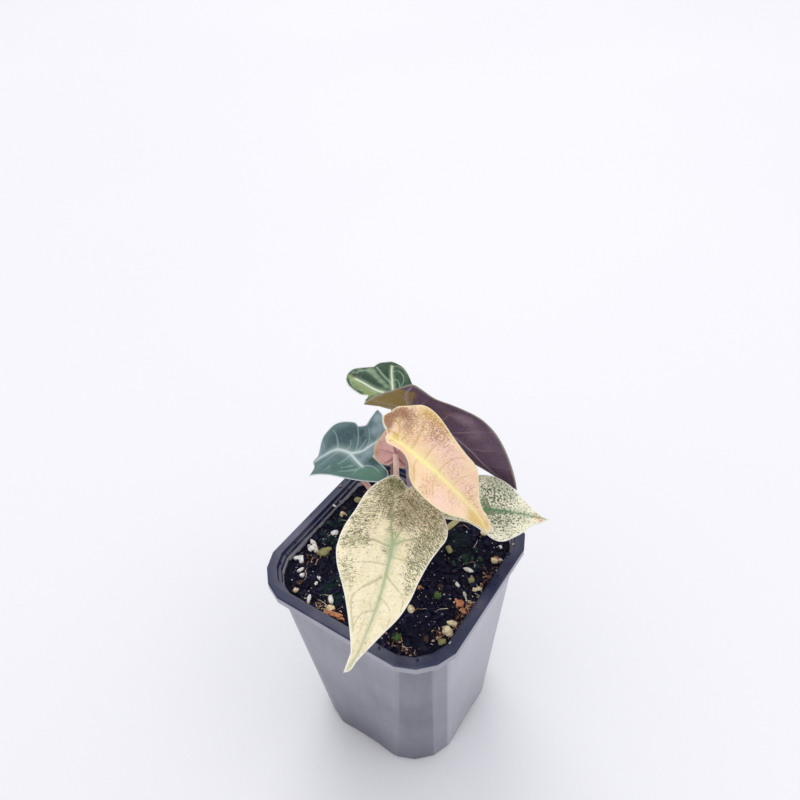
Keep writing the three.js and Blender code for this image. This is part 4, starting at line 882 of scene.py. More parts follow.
def smoothstep(low, high, value):
    """A smooth step from 0 at low to 1 at high."""
    share = np.clip((value - low) / (high - low), 0, 1)
    return share * share * (3 - 2 * share)


def curve_points(points, samples, to_end=True):
    """Points along the centripetal curve through the given points."""
    known = [np.array(p, float) for p in points]
    known = [2 * known[0] - known[1], *known, 2 * known[-1] - known[-2]]
    made = []
    for i in range(1, len(known) - 2):
        p0, p1, p2, p3 = known[i - 1:i + 3]
        d0, d1, d2 = (max(np.linalg.norm(b - a) ** 0.5, 1e-6)
                      for a, b in ((p0, p1), (p1, p2), (p2, p3)))
        t1 = ((p1 - p0) / d0 - (p2 - p0) / (d0 + d1) + (p2 - p1) / d1) * d1
        t2 = ((p2 - p1) / d1 - (p3 - p1) / (d1 + d2) + (p3 - p2) / d2) * d1
        for k in range(samples):
            t = k / samples
            made.append(p1 + t1 * t + (-3 * p1 + 3 * p2 - 2 * t1 - t2) * t * t
                        + (2 * p1 - 2 * p2 + t1 + t2) * t ** 3)
    if to_end:
        made.append(known[-2])
    return np.array(made)


def blade_frame(leaf):
    """Directions along the midrib, to its left and out of the upper face."""
    turn = math.radians(leaf["turn"])
    rise = math.radians(leaf["rise"])
    along = Vector((math.cos(turn) * math.cos(rise), math.sin(turn) * math.cos(rise),
                    math.sin(rise)))
    left = Vector((-math.sin(turn), math.cos(turn), 0))
    left.rotate(Matrix.Rotation(math.radians(leaf["roll"]), 3, along))
    return np.array(along), np.array(left), np.array(along.cross(left))


def blade_surface(leaf, x, y, wave):
    """The blade's middle surface in millimetres, as in the part's source."""
    along, left, face = blade_frame(leaf)
    bend = np.radians(np.where(x >= 0, leaf["droop"], leaf["back"])) / leaf["length"]
    angle = bend * np.abs(x)
    side = np.sign(x)
    ahead = side * np.sin(angle) / bend
    drop = (1 - np.cos(angle)) / bend
    turned = (side * np.sin(angle))[:, None] * along + np.cos(angle)[:, None] * face
    lift = np.where(y < 0, leaf["lift"][0], leaf["lift"][1])
    fade = 1 - smoothstep(0, leaf["length"] * LIFT_REACH, x)
    fold = np.radians(leaf["fold"] + lift * fade)
    height = (np.hypot(y, 1) - 1) * np.sin(fold) - CUP * y * y / leaf["length"] + wave
    return (np.array(leaf["joint"], float) + ahead[:, None] * along - drop[:, None] * face
            + (y * np.cos(fold))[:, None] * left + height[:, None] * turned)


def segment(a, b, x, y):
    """How far along a line from a to b each point lies, from 0 to 1, and its distance from it."""
    step = b - a
    share = np.clip(((x - a[0]) * step[0] + (y - a[1]) * step[1]) / step.dot(step), 0, 1)
    return share, np.hypot(x - a[0] - share * step[0], y - a[1] - share * step[1])


def vein_field(veins, x, y):
    """How near each point is to the nearest vein: 1 on it, 0 at its half width, then negative."""
    best = np.full(len(x), -99.0)
    for start, end, *points in veins:
        path = curve_points(points, VEIN_SAMPLES)
        for i, (a, b) in enumerate(zip(path, path[1:])):
            share, away = segment(a, b, x, y)
            width = start + (end - start) * (i + share) / (len(path) - 1)
            best = np.maximum(best, 1 - away / width)
    return best


def vein_distance(veins, x, y):
    """Distance to the nearest vein in millimetres."""
    best = np.full(len(x), 99.0)
    for _, _, *points in veins:
        path = curve_points(points, PUFF_SAMPLES)
        for a, b in zip(path, path[1:]):
            best = np.minimum(best, segment(a, b, x, y)[1])
    return best


def margin_distance(outline, x, y):
    """Distance to the margin in millimetres."""
    best = np.full(len(x), 99.0)
    for a, b in zip(outline, np.roll(outline, -1, axis=0)):
        best = np.minimum(best, segment(a, b, x, y)[1])
    return best


def zone_field(zones, x, y):
    """The sum of soft round zones at each point."""
    total = np.zeros(len(x))
    for zx, zy, reach, strength in zones:
        total += strength * np.exp(-((x - zx) ** 2 + (y - zy) ** 2) / reach ** 2)
    return total


def blade_piece(name, leaf):
    """One leaf blade: two faces that follow the veins, joined round a thin margin."""
    outline = np.vstack([curve_points(leaf["right"], BLADE_SAMPLES, False),
                         curve_points(leaf["left"], BLADE_SAMPLES, False)])
    count = len(outline)
    shares = (np.arange(1, BLADE_RINGS + 1) / BLADE_RINGS) ** RING_EASE
    share = np.concatenate([[0.0], np.repeat(shares, count)])
    spoke = np.concatenate([[0.0], np.tile(np.arange(count), BLADE_RINGS)])
    edge_points = np.vstack([[outline[0]], np.tile(outline, (BLADE_RINGS, 1))])
    x = edge_points[:, 0] * share
    y = edge_points[:, 1] * share
    wave_height, wave_count, wave_phase = leaf["wave"]
    wave = wave_height * share ** 3 * np.sin(spoke / count * 2 * np.pi * wave_count + wave_phase)
    middle = blade_surface(leaf, x, y, wave)
    ahead = blade_surface(leaf, x + NORMAL_STEP, y, wave) - middle
    aside = blade_surface(leaf, x, y + NORMAL_STEP, wave) - middle
    normal = np.cross(ahead, aside)
    normal /= np.linalg.norm(normal, axis=1)[:, None]
    ribs, sides = VEINS[name]
    rib = np.clip(vein_field(ribs, x, y), -9, 1)
    side = np.clip(vein_field(sides, x, y), -9, 1)
    margin = margin_distance(outline, x, y)
    away = vein_distance(ribs + sides, x, y)
    puff = PUFF * (1 - np.exp(-(away / PUFF_REACH) ** 2)) * smoothstep(0, 2.5, margin)
    ridge = 0.1 * np.exp(-((1 - rib) / 1.1) ** 2) + 0.04 * np.exp(-((1 - side) / 1.2) ** 2)
    half = EDGE_THICKNESS + (HALF_THICKNESS - EDGE_THICKNESS) * smoothstep(0, 1.2, margin)
    upper = middle + normal * (half + (puff - PUFF_LEVEL) + ridge)[:, None]
    keel = 0.34 * np.exp(-((1 - rib) / 1.1) ** 2) + 0.1 * np.exp(-((1 - side) / 1.2) ** 2)
    keel *= smoothstep(0, 1, margin)
    lower = middle - normal * (half - (puff - PUFF_LEVEL) + keel)[:, None]
    total = len(x)
    points = np.vstack([upper, lower]) * MM
    faces = []
    for k in range(count):
        after = (k + 1) % count
        faces.append((0, 1 + k, 1 + after))
        faces.append((total, total + 1 + after, total + 1 + k))
    for ring in range(BLADE_RINGS - 1):
        base = 1 + ring * count
        for k in range(count):
            after = (k + 1) % count
            quad = (base + k, base + count + k, base + count + after, base + after)
            faces.append(quad)
            faces.append(tuple(total + index for index in reversed(quad)))
    last = 1 + (BLADE_RINGS - 1) * count
    for k in range(count):
        after = (k + 1) % count
        faces.append((last + k, total + last + k, total + last + after, last + after))
    piece = from_arrays(f"leaf_{name}", points, faces)
    numbers = {"rib": rib, "side": side, "margin": margin,
               "along": np.clip(x / leaf["length"], 0, 1)}
    for zone, spots in ZONES[name].items():
        numbers[zone] = zone_field(spots, x, y)
    for key, values in numbers.items():
        carry(piece, key, np.tile(values, 2))
    carry(piece, "upper", np.repeat([1.0, 0.0], total))
    layer = piece.data.uv_layers.new(name="plane")
    across = np.concatenate([x + 30, x + 30 + PLANE_SPAN / 2]) / PLANE_SPAN
    up = np.tile(y + 40, 2) / PLANE_SPAN
    index = np.empty(len(piece.data.loops), dtype=np.int32)
    piece.data.loops.foreach_get("vertex_index", index)
    layer.data.foreach_set("uv", np.stack([across[index], up[index]], 1).ravel())
    return piece


def blade_finish(name, look):
    """Variegated waxy leaf skin: mottled ground, flecks, soft veins and a pale margin."""
    skin = Finish(f"{name}_leaf_skin", roughness=look.roughness, specular_ior_level=0.32,
                  subsurface_weight=0.12, subsurface_radius=(0.0012, 0.0009, 0.0004),
                  subsurface_scale=1.0)
    plane = skin.node("ShaderNodeUVMap", {"uv_map": "plane"}, {}, "UV")
    millimetres = skin.scaled(plane, (PLANE_SPAN, PLANE_SPAN, 1.0))
    x = skin.apart(millimetres, "X")
    y = skin.apart(millimetres, "Y") - 40.0
    aside = skin.size_of(y)
    sweep = skin.node("ShaderNodeCombineXYZ", {}, {"X": (x - aside * 0.6) * 1.6, "Y": y * 0.5})
    broad = skin.noise(0.22, 3.0, 0.6, millimetres)
    blot = skin.noise(0.9, 2.0, 0.55, millimetres)
    grain = skin.noise(2.8, 3.0, 0.68, millimetres)
    streak = skin.noise(2.1, 3.0, 0.64, sweep)
    network = skin.cells(0.9, sweep, "DISTANCE_TO_EDGE")
    shade = skin.own("shade").clip()
    rib = skin.own("rib").step(-0.4, 0.65)
    side = skin.own("side").step(-1.3, 0.8)
    halo = skin.own("rib").step(-5.0, 0.6)
    margin = skin.own("margin")
    along = skin.own("along")
    fine = grain * 0.55 + streak * 0.45
    clump = look.clump
    body = fine * (1 - clump) + skin.noise(1.5, 3.0, 0.62, millimetres) * clump
    lines = 1 - skin.size_of(skin.noise(1.05, 2.5, 0.6, sweep) - 0.5).step(0.014, 0.062)
    colour = skin.mix(broad.step(0.42, 0.62) * 0.5, look.ground, look.second)
    for zone in ("flush", "gold", "dusk"):
        share = skin.own(zone) * (blot * 0.5 + fine * 1.3 + 0.1)
        share = share.step(0.1 + clump * 0.4, 1.0 - clump * 0.25)
        colour = skin.mix(share * 0.92, colour, getattr(look, zone))
    mottle = body.step(0.47, 0.57) * (shade * 0.6 + 0.4) * look.mottle
    colour = skin.mix(mottle, colour, look.second)
    colour = skin.mix((1 - body.step(0.4, 0.5)) * look.mottle * 0.6, colour, look.ground)
    speckle = (body + shade * 0.14 + look.density * 0.13).step(0.6, 0.66)
    colour = skin.mix(speckle * (0.84 - look.lace * 0.3), colour, look.speckle)
    laced = (shade * 1.2 + look.density + (blot - 0.5) * 1.2).step(0.12, 0.62)
    colour = skin.mix(lines * laced * grain.step(0.34, 0.48) * look.lace, colour, look.speckle)
    threads = 1 - network.step(0.0, 0.09)
    colour = skin.mix(threads * 0.2 * look.contrast, colour, look.side)
    colour = skin.mix(side * (1 - along * 0.4) * look.contrast, colour, look.side)
    colour = skin.mix(halo * halo * (fine + 0.1) * 0.6, colour, look.vein)
    colour = skin.mix(rib * (0.95 - along * 0.6), colour, look.vein)
    line = 1 - (margin + grain * 0.3).step(0.25, 0.6)
    colour = skin.mix(line * 0.9, colour, look.margin)
    lower = skin.mix((skin.own("stain") * (broad + 0.5)).step(0.25, 0.8), look.under, look.stain)
    lower = skin.mix((skin.own("bloom") * (blot + 0.5)).step(0.2, 1.0) * 0.8, lower, look.bloom)
    lower = skin.mix(streak.step(0.45, 0.62) * 0.3, lower, look.bloom)
    lower = skin.mix((1 - streak.step(0.36, 0.5)) * 0.25, lower, (0.02, 0.01, 0.02, 1.0))
    lower = skin.mix(side * 0.5, lower, look.under_vein)
    lower = skin.mix(rib * 0.75, lower, look.under_vein)
    lower = skin.mix((1 - margin.step(0.2, 0.9)) * 0.75, lower, look.margin)
    skin.set("Base Color", skin.mix(skin.own("upper"), lower, colour))
    skin.relief(grain * 0.5 + streak * 0.35 + network.step(0.0, 0.2) * 0.35, 0.00009)
    return skin


class MASKPLANT_OT_blades(bpy.types.Operator):
    """Makes the seven leaf blades"""

    bl_idname = "maskplant.blades"
    bl_label = "Leaf blades"

    def execute(self, context):
        for name, leaf in LEAVES.items():
            look = getattr(settings(), f"mask_plant_{name}")
            piece = blade_piece(name, leaf)
            dress(piece, blade_finish(name, look), f"blade_{name}", f"blade_{name}")
        return {"FINISHED"}


def stalk_path(leaf):
    """Points up the middle of a stalk in millimetres, from the stock to the blade."""
    angle = math.radians(leaf["seat"])
    reach = STALK_RING * leaf["seat_share"]
    seat = np.array([STOCK_X + math.cos(angle) * reach, STOCK_Y + math.sin(angle) * reach,
                     STOCK_TOP + GAP])
    face = blade_frame(leaf)[2]
    joint = np.array(leaf["joint"], float)
    via = [np.array(p, float) for p in leaf["via"]]
    aside = via[-1] - joint - face * ((via[-1] - joint) @ face)
    end = joint - face * STALK_CLEAR
    elbow = end - face * ELBOW_DEPTH + aside / np.linalg.norm(aside) * ELBOW_REACH
    path = curve_points([seat, seat + (0, 0, 4), *via, elbow, end], STALK_SAMPLES)
    return np.vstack([path[0] - (0, 0, STALK_SINK), path, joint - face * 0.1])


def stalk_piece(name, leaf, look):
    """A slender stalk that clasps the stock, thins upward and widens into the blade."""
    path = stalk_path(leaf)
    lengths = np.concatenate([[0], np.cumsum(np.linalg.norm(np.diff(path, axis=0), axis=1))])
    share = lengths / lengths[-1]
    tangents = np.gradient(path, axis=0)
    tangents /= np.linalg.norm(tangents, axis=1)[:, None]
    base = look.base_radius / MM
    top = look.top_radius / MM
    radius = base + (top - base) * smoothstep(0, 0.3, share)
    radius *= 1 + 0.2 * smoothstep(0.94, 1.0, share)
    out = np.array([1.0, 0.0, 0.0])
    points = []
    for middle, tangent, r in zip(path, tangents, radius):
        out = out - tangent * out.dot(tangent)
        out /= np.linalg.norm(out)
        across = np.cross(tangent, out)
        for k in range(STALK_SIDES):
            angle = k / STALK_SIDES * 2 * math.pi
            groove = 1 - 0.1 * math.exp(-(((angle - math.pi) / 0.5) ** 2))
            points.append(middle + r * groove * (math.cos(angle) * out + math.sin(angle) * across))
    piece = from_arrays(f"stem_{name}", np.array(points) * MM,
                        tube_faces(0, len(path), STALK_SIDES))
    carry(piece, "share", np.repeat(share, STALK_SIDES))
    return piece


def stalk_finish(name, look, upper_colour):
    """Fleshy stalk: pink at its foot, paler above, with fine lengthwise dashes."""
    skin = Finish(f"{name}_stalk_skin", roughness=0.36, subsurface_weight=0.15,
                  subsurface_radius=(0.0012, 0.0007, 0.0005), subsurface_scale=1.0)
    share = skin.own("share")
    dashes = skin.noise(900.0, 3.0, 0.6, stretch=(1.0, 1.0, 0.22))
    broad = skin.noise(160.0, 2.0, 0.5)
    colour = skin.mix((share + broad * 0.4 - 0.2).step(0.1, 0.62), look.foot, upper_colour)
    strength = (1 - share.step(0.15, 0.85)) * 0.6 + 0.1
    colour = skin.mix(dashes.step(0.53, 0.62) * strength, colour, look.mottle)
    skin.set("Base Color", colour)
    skin.relief(dashes, 0.00006)
    return skin


class MASKPLANT_OT_stalks(bpy.types.Operator):
    """Makes the seven leaf stalks"""

    bl_idname = "maskplant.stalks"
    bl_label = "Leaf stalks"

    def execute(self, context):
        look = settings().mask_plant_stalks
        for name, leaf in LEAVES.items():
            upper_colour = getattr(settings(), f"mask_plant_{name}").stalk
            piece = stalk_piece(name, leaf, look)
            dress(piece, stalk_finish(name, look, upper_colour), "stalk", f"stalk_{name}")
        return {"FINISHED"}


class MASKPLANT_OT_stock(bpy.types.Operator):
    """Makes the short ringed stock with its main roots, and the dry sheaths round its top"""

    bl_idname = "maskplant.stock"
    bl_label = "Stock and sheaths"

    def execute(self, context):
        look = settings().mask_plant_stalks
        stock = copied_node("rootstock", "short_stock")
        modify(stock, "BEVEL", width=0.0002, segments=1, limit_method="ANGLE",
               angle_limit=math.radians(30))
        smooth(stock, 50)
        skin = Finish("stock_skin", roughness=0.62)
        bands = skin.noise(260.0, 4.0, 0.6, stretch=(1.0, 1.0, 3.0))
        fibres = skin.noise(1400.0, 3.0, 0.6, stretch=(1.0, 1.0, 0.2))
        colour = skin.mix(bands.step(0.38, 0.64), look.stock, look.foot)
        skin.set("Base Color", skin.mix(fibres.step(0.5, 0.66) * 0.6, colour, look.mottle))
        skin.relief(bands * 0.6 + fibres * 0.4, 0.0003)
        dress(stock, skin, "rootstock", "rootstock")
        self.sheaths(look)
        return {"FINISHED"}

    def sheaths(self, look):
        """Five papery sheaths that hug the foot of the stalks."""
        points = []
        faces = []
        heights = []
        rows = SHEATH_ROWS
        columns = SHEATH_COLUMNS
        for number in range(SHEATH_COUNT):
            turn = number / SHEATH_COUNT * 2 * math.pi + 0.5
            tall = 7.5 + 3.5 * math.sin(number * 2.1)
            start = len(points)
            for sheet in (0, 1):
                for row in range(rows):
                    up = row / (rows - 1)
                    width = 0.62 * (1 - up ** 1.7) + 0.05
                    for column in range(columns):
                        around = (column / (columns - 1) - 0.5) * 2 * width
                        ripple = 0.16 * math.sin(around * 9 + number)
                        reach = SHEATH_RADIUS + 0.5 * up + 1.1 * up ** 3 + ripple
                        reach -= SHEATH_THICKNESS * sheet
                        z = STOCK_TOP - 2.2 + tall * up - 0.4 * around * around
                        points.append(((STOCK_X + math.cos(turn + around) * reach) * MM,
                                       (STOCK_Y + math.sin(turn + around) * reach) * MM, z * MM))
                        heights.append(up)
            grid = rows * columns
            for row in range(rows - 1):
                for column in range(columns - 1):
                    a = start + row * columns + column
                    quad = (a, a + 1, a + columns + 1, a + columns)
                    faces.append(quad)
                    faces.append(tuple(index + grid for index in reversed(quad)))
            border = [start + c for c in range(columns)]
            border += [start + r * columns + columns - 1 for r in range(1, rows)]
            border += [start + (rows - 1) * columns + c for c in range(columns - 2, -1, -1)]
            border += [start + r * columns for r in range(rows - 2, 0, -1)]
            for a, b in zip(border, border[1:] + border[:1]):
                faces.append((a, a + grid, b + grid, b))
        piece = from_arrays("dry_sheaths", points, faces)
        carry(piece, "share", heights)
        skin = Finish("dry_sheath_skin", roughness=0.55)
        fibres = skin.noise(1500.0, 3.0, 0.6, stretch=(1.0, 1.0, 0.15))
        colour = skin.mix((skin.own("share") + fibres * 0.5).step(0.3, 1.1), look.foot, look.sheath)
        skin.set("Base Color", skin.mix(fibres.step(0.5, 0.62) * 0.5, colour, look.mottle))
        skin.relief(fibres, 0.0001)
        dress(piece, skin, "stalk")


class MASKPLANT_OT_pot(bpy.types.Operator):
    """Makes the moulded pot with softened edges"""

    bl_idname = "maskplant.pot"
    bl_label = "Nursery pot"

    def execute(self, context):
        look = settings().mask_plant_pot
        pot = copied_node("pot", "nursery_pot")
        modify(pot, "BEVEL", width=look.edge, segments=3, limit_method="ANGLE",
               angle_limit=math.radians(14), harden_normals=False)
        smooth(pot, 12)
        dress(pot, self.finish(look), "pot", "pot")
        return {"FINISHED"}

    def finish(self, look):
        """Dark moulded plastic with a faint grain, dried water marks and scuffs."""
        skin = Finish("pot_plastic", specular_ior_level=0.5)
        x = skin.apart(skin.place, "X")
        y = skin.apart(skin.place, "Y")
        z = skin.apart(skin.place, "Z")
        grain = skin.noise(2600.0, 2.0, 0.5)
        cloud = skin.noise(38.0, 4.0, 0.6)
        runs = skin.noise(220.0, 3.0, 0.6, stretch=(1.0, 1.0, 0.08))
        spots = skin.noise(420.0, 4.0, 0.7)
        slope = (BODY_TOP_HALF - BODY_FOOT_HALF) / POT_HEIGHT
        half = z * slope + BODY_FOOT_HALF * MM
        beside = skin.size_of(x) - half
        before = skin.size_of(y) - half
        # Painted reflection mixed with dried water marks: the two faces across x are painted
        # lighter, the two faces across y lighter towards the top and towards their ends, and the
        # whole wall lighter towards the top and a little darker at its foot, so the corner facets
        # stay darker; the cloudy runs added last are the water marks.
        haze_and_sheen = beside.step(-0.0032, -0.0026) * 0.16 + beside.step(-0.0006, -0.0002) * 0.3
        haze_and_sheen = haze_and_sheen + before.step(-0.0006, -0.0002) * (z * 3.2 + skin.size_of(x) * 3.0) * 0.6
        haze_and_sheen = haze_and_sheen + z * 1.6 + z.step(0.0, 0.03) * 0.08
        haze_and_sheen = haze_and_sheen + (cloud + runs * 0.4).step(0.5, 0.95) * 0.16 - 0.02
        colour = skin.mix(haze_and_sheen, look.wall, look.dust_and_sheen)
        colour = skin.mix(spots.step(0.7, 0.74) * 0.6, colour, look.dust_and_sheen)
        colour = skin.mix(z.step(*BAND) * 0.6, colour, look.dust_and_sheen)
        rim = skin.mix(cloud.step(0.45, 0.8) * 0.18, look.rim, look.dust_and_sheen)
        rim = skin.mix(spots.step(0.7, 0.75) * 0.5, rim, look.dust_and_sheen)
        # The rim's outer face is painted 50 to 70 per cent of the way to the pale water-mark
        # colour, lighter than its top: painted reflection mixed with cloudy water marks.
        face = skin.mix(cloud.step(0.4, 0.8) * 0.2 + 0.5, look.wall, look.dust_and_sheen)
        rim = skin.mix(self.outside(skin, x, y) * (1 - z.step(*LIP)), rim, face)
        skin.set("Base Color", skin.mix(z.step(*FOLD), colour, rim))
        skin.set("Roughness", (cloud * 0.2 + grain * 0.08 + look.roughness - 0.12).clip())
        skin.relief(grain * 0.5 + spots * 0.4, 0.00003)
        return skin

    def outside(self, skin, x, y):
        """1 on the rim's outer face and 0 on its inner ledge, from tests of its flat facets."""
        across = skin.size_of(x)
        ahead = skin.size_of(y)
        lean = CORNER_FAR / (1 - CORNER_NEAR)
        tests = across.step(*SIDE_FACET) + ahead.step(*SIDE_FACET)
        tests = tests + (across + ahead * lean).step(*OUTER_FACET)
        tests = tests + (ahead + across * lean).step(*OUTER_FACET)
        tests = tests + (across + ahead).step(*MIDDLE_FACET)
        return tests.clip()


class MASKPLANT_OT_bed(bpy.types.Operator):
    """Makes the bed of potting mix that fills the pot"""

    bl_idname = "maskplant.bed"
    bl_label = "Potting mix"

    def execute(self, context):
        look = settings().mask_plant_mix
        clear_selection()
        bpy.ops.mesh.primitive_grid_add(x_subdivisions=BED_CELLS, y_subdivisions=BED_CELLS,
                                        size=2.0)
        bed = added("mix_bed")
        half, cut = body_at(MIX_LEVEL)
        top = cut_square(half - WALL - 0.4 - GAP, cut - 1.1)
        half, cut = body_at(FLOOR)
        foot = cut_square(half - WALL - GAP - 0.1, cut - 0.9)
        bpy.ops.object.mode_set(mode="EDIT")
        bpy.ops.mesh.select_all(action="SELECT")
        bpy.ops.mesh.region_to_loop()
        bpy.ops.mesh.extrude_region_move(
            TRANSFORM_OT_translate={"value": (0.0, 0.0, -1.0)})
        bpy.ops.mesh.edge_face_add()
        bpy.ops.object.mode_set(mode="OBJECT")
        for point in bed.data.vertices:
            x, y, z = point.co
            share = max(abs(x), abs(y))
            angle = math.atan2(y, x)
            low = z < -0.5
            reach = ring_reach(foot if low else top, angle) * share
            px = math.cos(angle) * reach
            py = math.sin(angle) * reach
            pz = FLOOR + GAP if low else mix_height(px, py)
            point.co = (px * MM, py * MM, pz * MM)
        smooth(bed, 70)
        dress(bed, self.finish(look), "soil", "soil")
        return {"FINISHED"}

    def finish(self, look):
        """Wet peat and bark fines: near black, with dull crumbs and tiny glints."""
        skin = Finish("wet_mix", specular_ior_level=0.16)
        grain = skin.noise(1300.0, 4.0, 0.7)
        lumps = skin.cells(700.0)
        tufts = skin.noise(90.0, 3.0, 0.6)
        colour = skin.mix((grain - lumps * 0.3).step(0.36, 0.6), look.bed, look.crumb)
        green = skin.near(-0.0095, -0.0208, 0.009) + skin.near(0.0135, 0.018, 0.007) * 0.6
        colour = skin.mix((green * (tufts + 0.4)).step(0.2, 0.9) * 0.7, colour, look.tinge)
        # Painted glints: tiny pale dots in the perlite colour stand in for sparkle on the wet mix.
        skin.set("Base Color", skin.mix(grain.step(0.66, 0.74) * 0.5, colour, look.perlite))
        skin.set("Roughness", grain.step(0.3, 0.7) * 0.35 + 0.4)
        skin.relief(grain * 0.7 + lumps * 0.5, 0.0008)
        return skin


class Heap:
    """Copies of one rough grain that become one piece, each copy with its own number."""

    def __init__(self, detail, chance):
        clear_selection()
        bpy.ops.mesh.primitive_ico_sphere_add(subdivisions=detail, radius=0.5)
        start = added("grain_start")
        self.shape = np.array([v.co for v in start.data.vertices])
        self.shape_faces = [tuple(p.vertices) for p in start.data.polygons]
        bpy.data.objects.remove(start)
        self.chance = chance
        self.points = []
        self.faces = []
        self.numbers = []

    def drop(self, size, place, turn, tilt, seed, rough):
        """Adds a grain in millimetres: the shape roughened, sized, turned and placed."""
        shift = Vector((seed * 3.7, seed * 1.3, seed * 2.9))
        push = [1 + rough * noise.noise(Vector(p) * 2.4 + shift) for p in self.shape]
        points = self.shape * np.array(push)[:, None] * np.array(size)
        spin = Matrix.Rotation(turn, 3, "Z") @ Matrix.Rotation(tilt, 3, "X")
        start = len(self.numbers)
        self.points.append(points @ np.array(spin).T + np.array(place))
        self.faces += [tuple(start + index for index in face) for face in self.shape_faces]
        self.numbers += [self.chance.random()] * len(points)

    def piece(self, name, smooth_faces=False):
        """Makes the piece from all the grains that were dropped."""
        made = from_arrays(name, np.vstack(self.points) * MM, self.faces, smooth_faces)
        carry(made, "own", self.numbers)
        return made


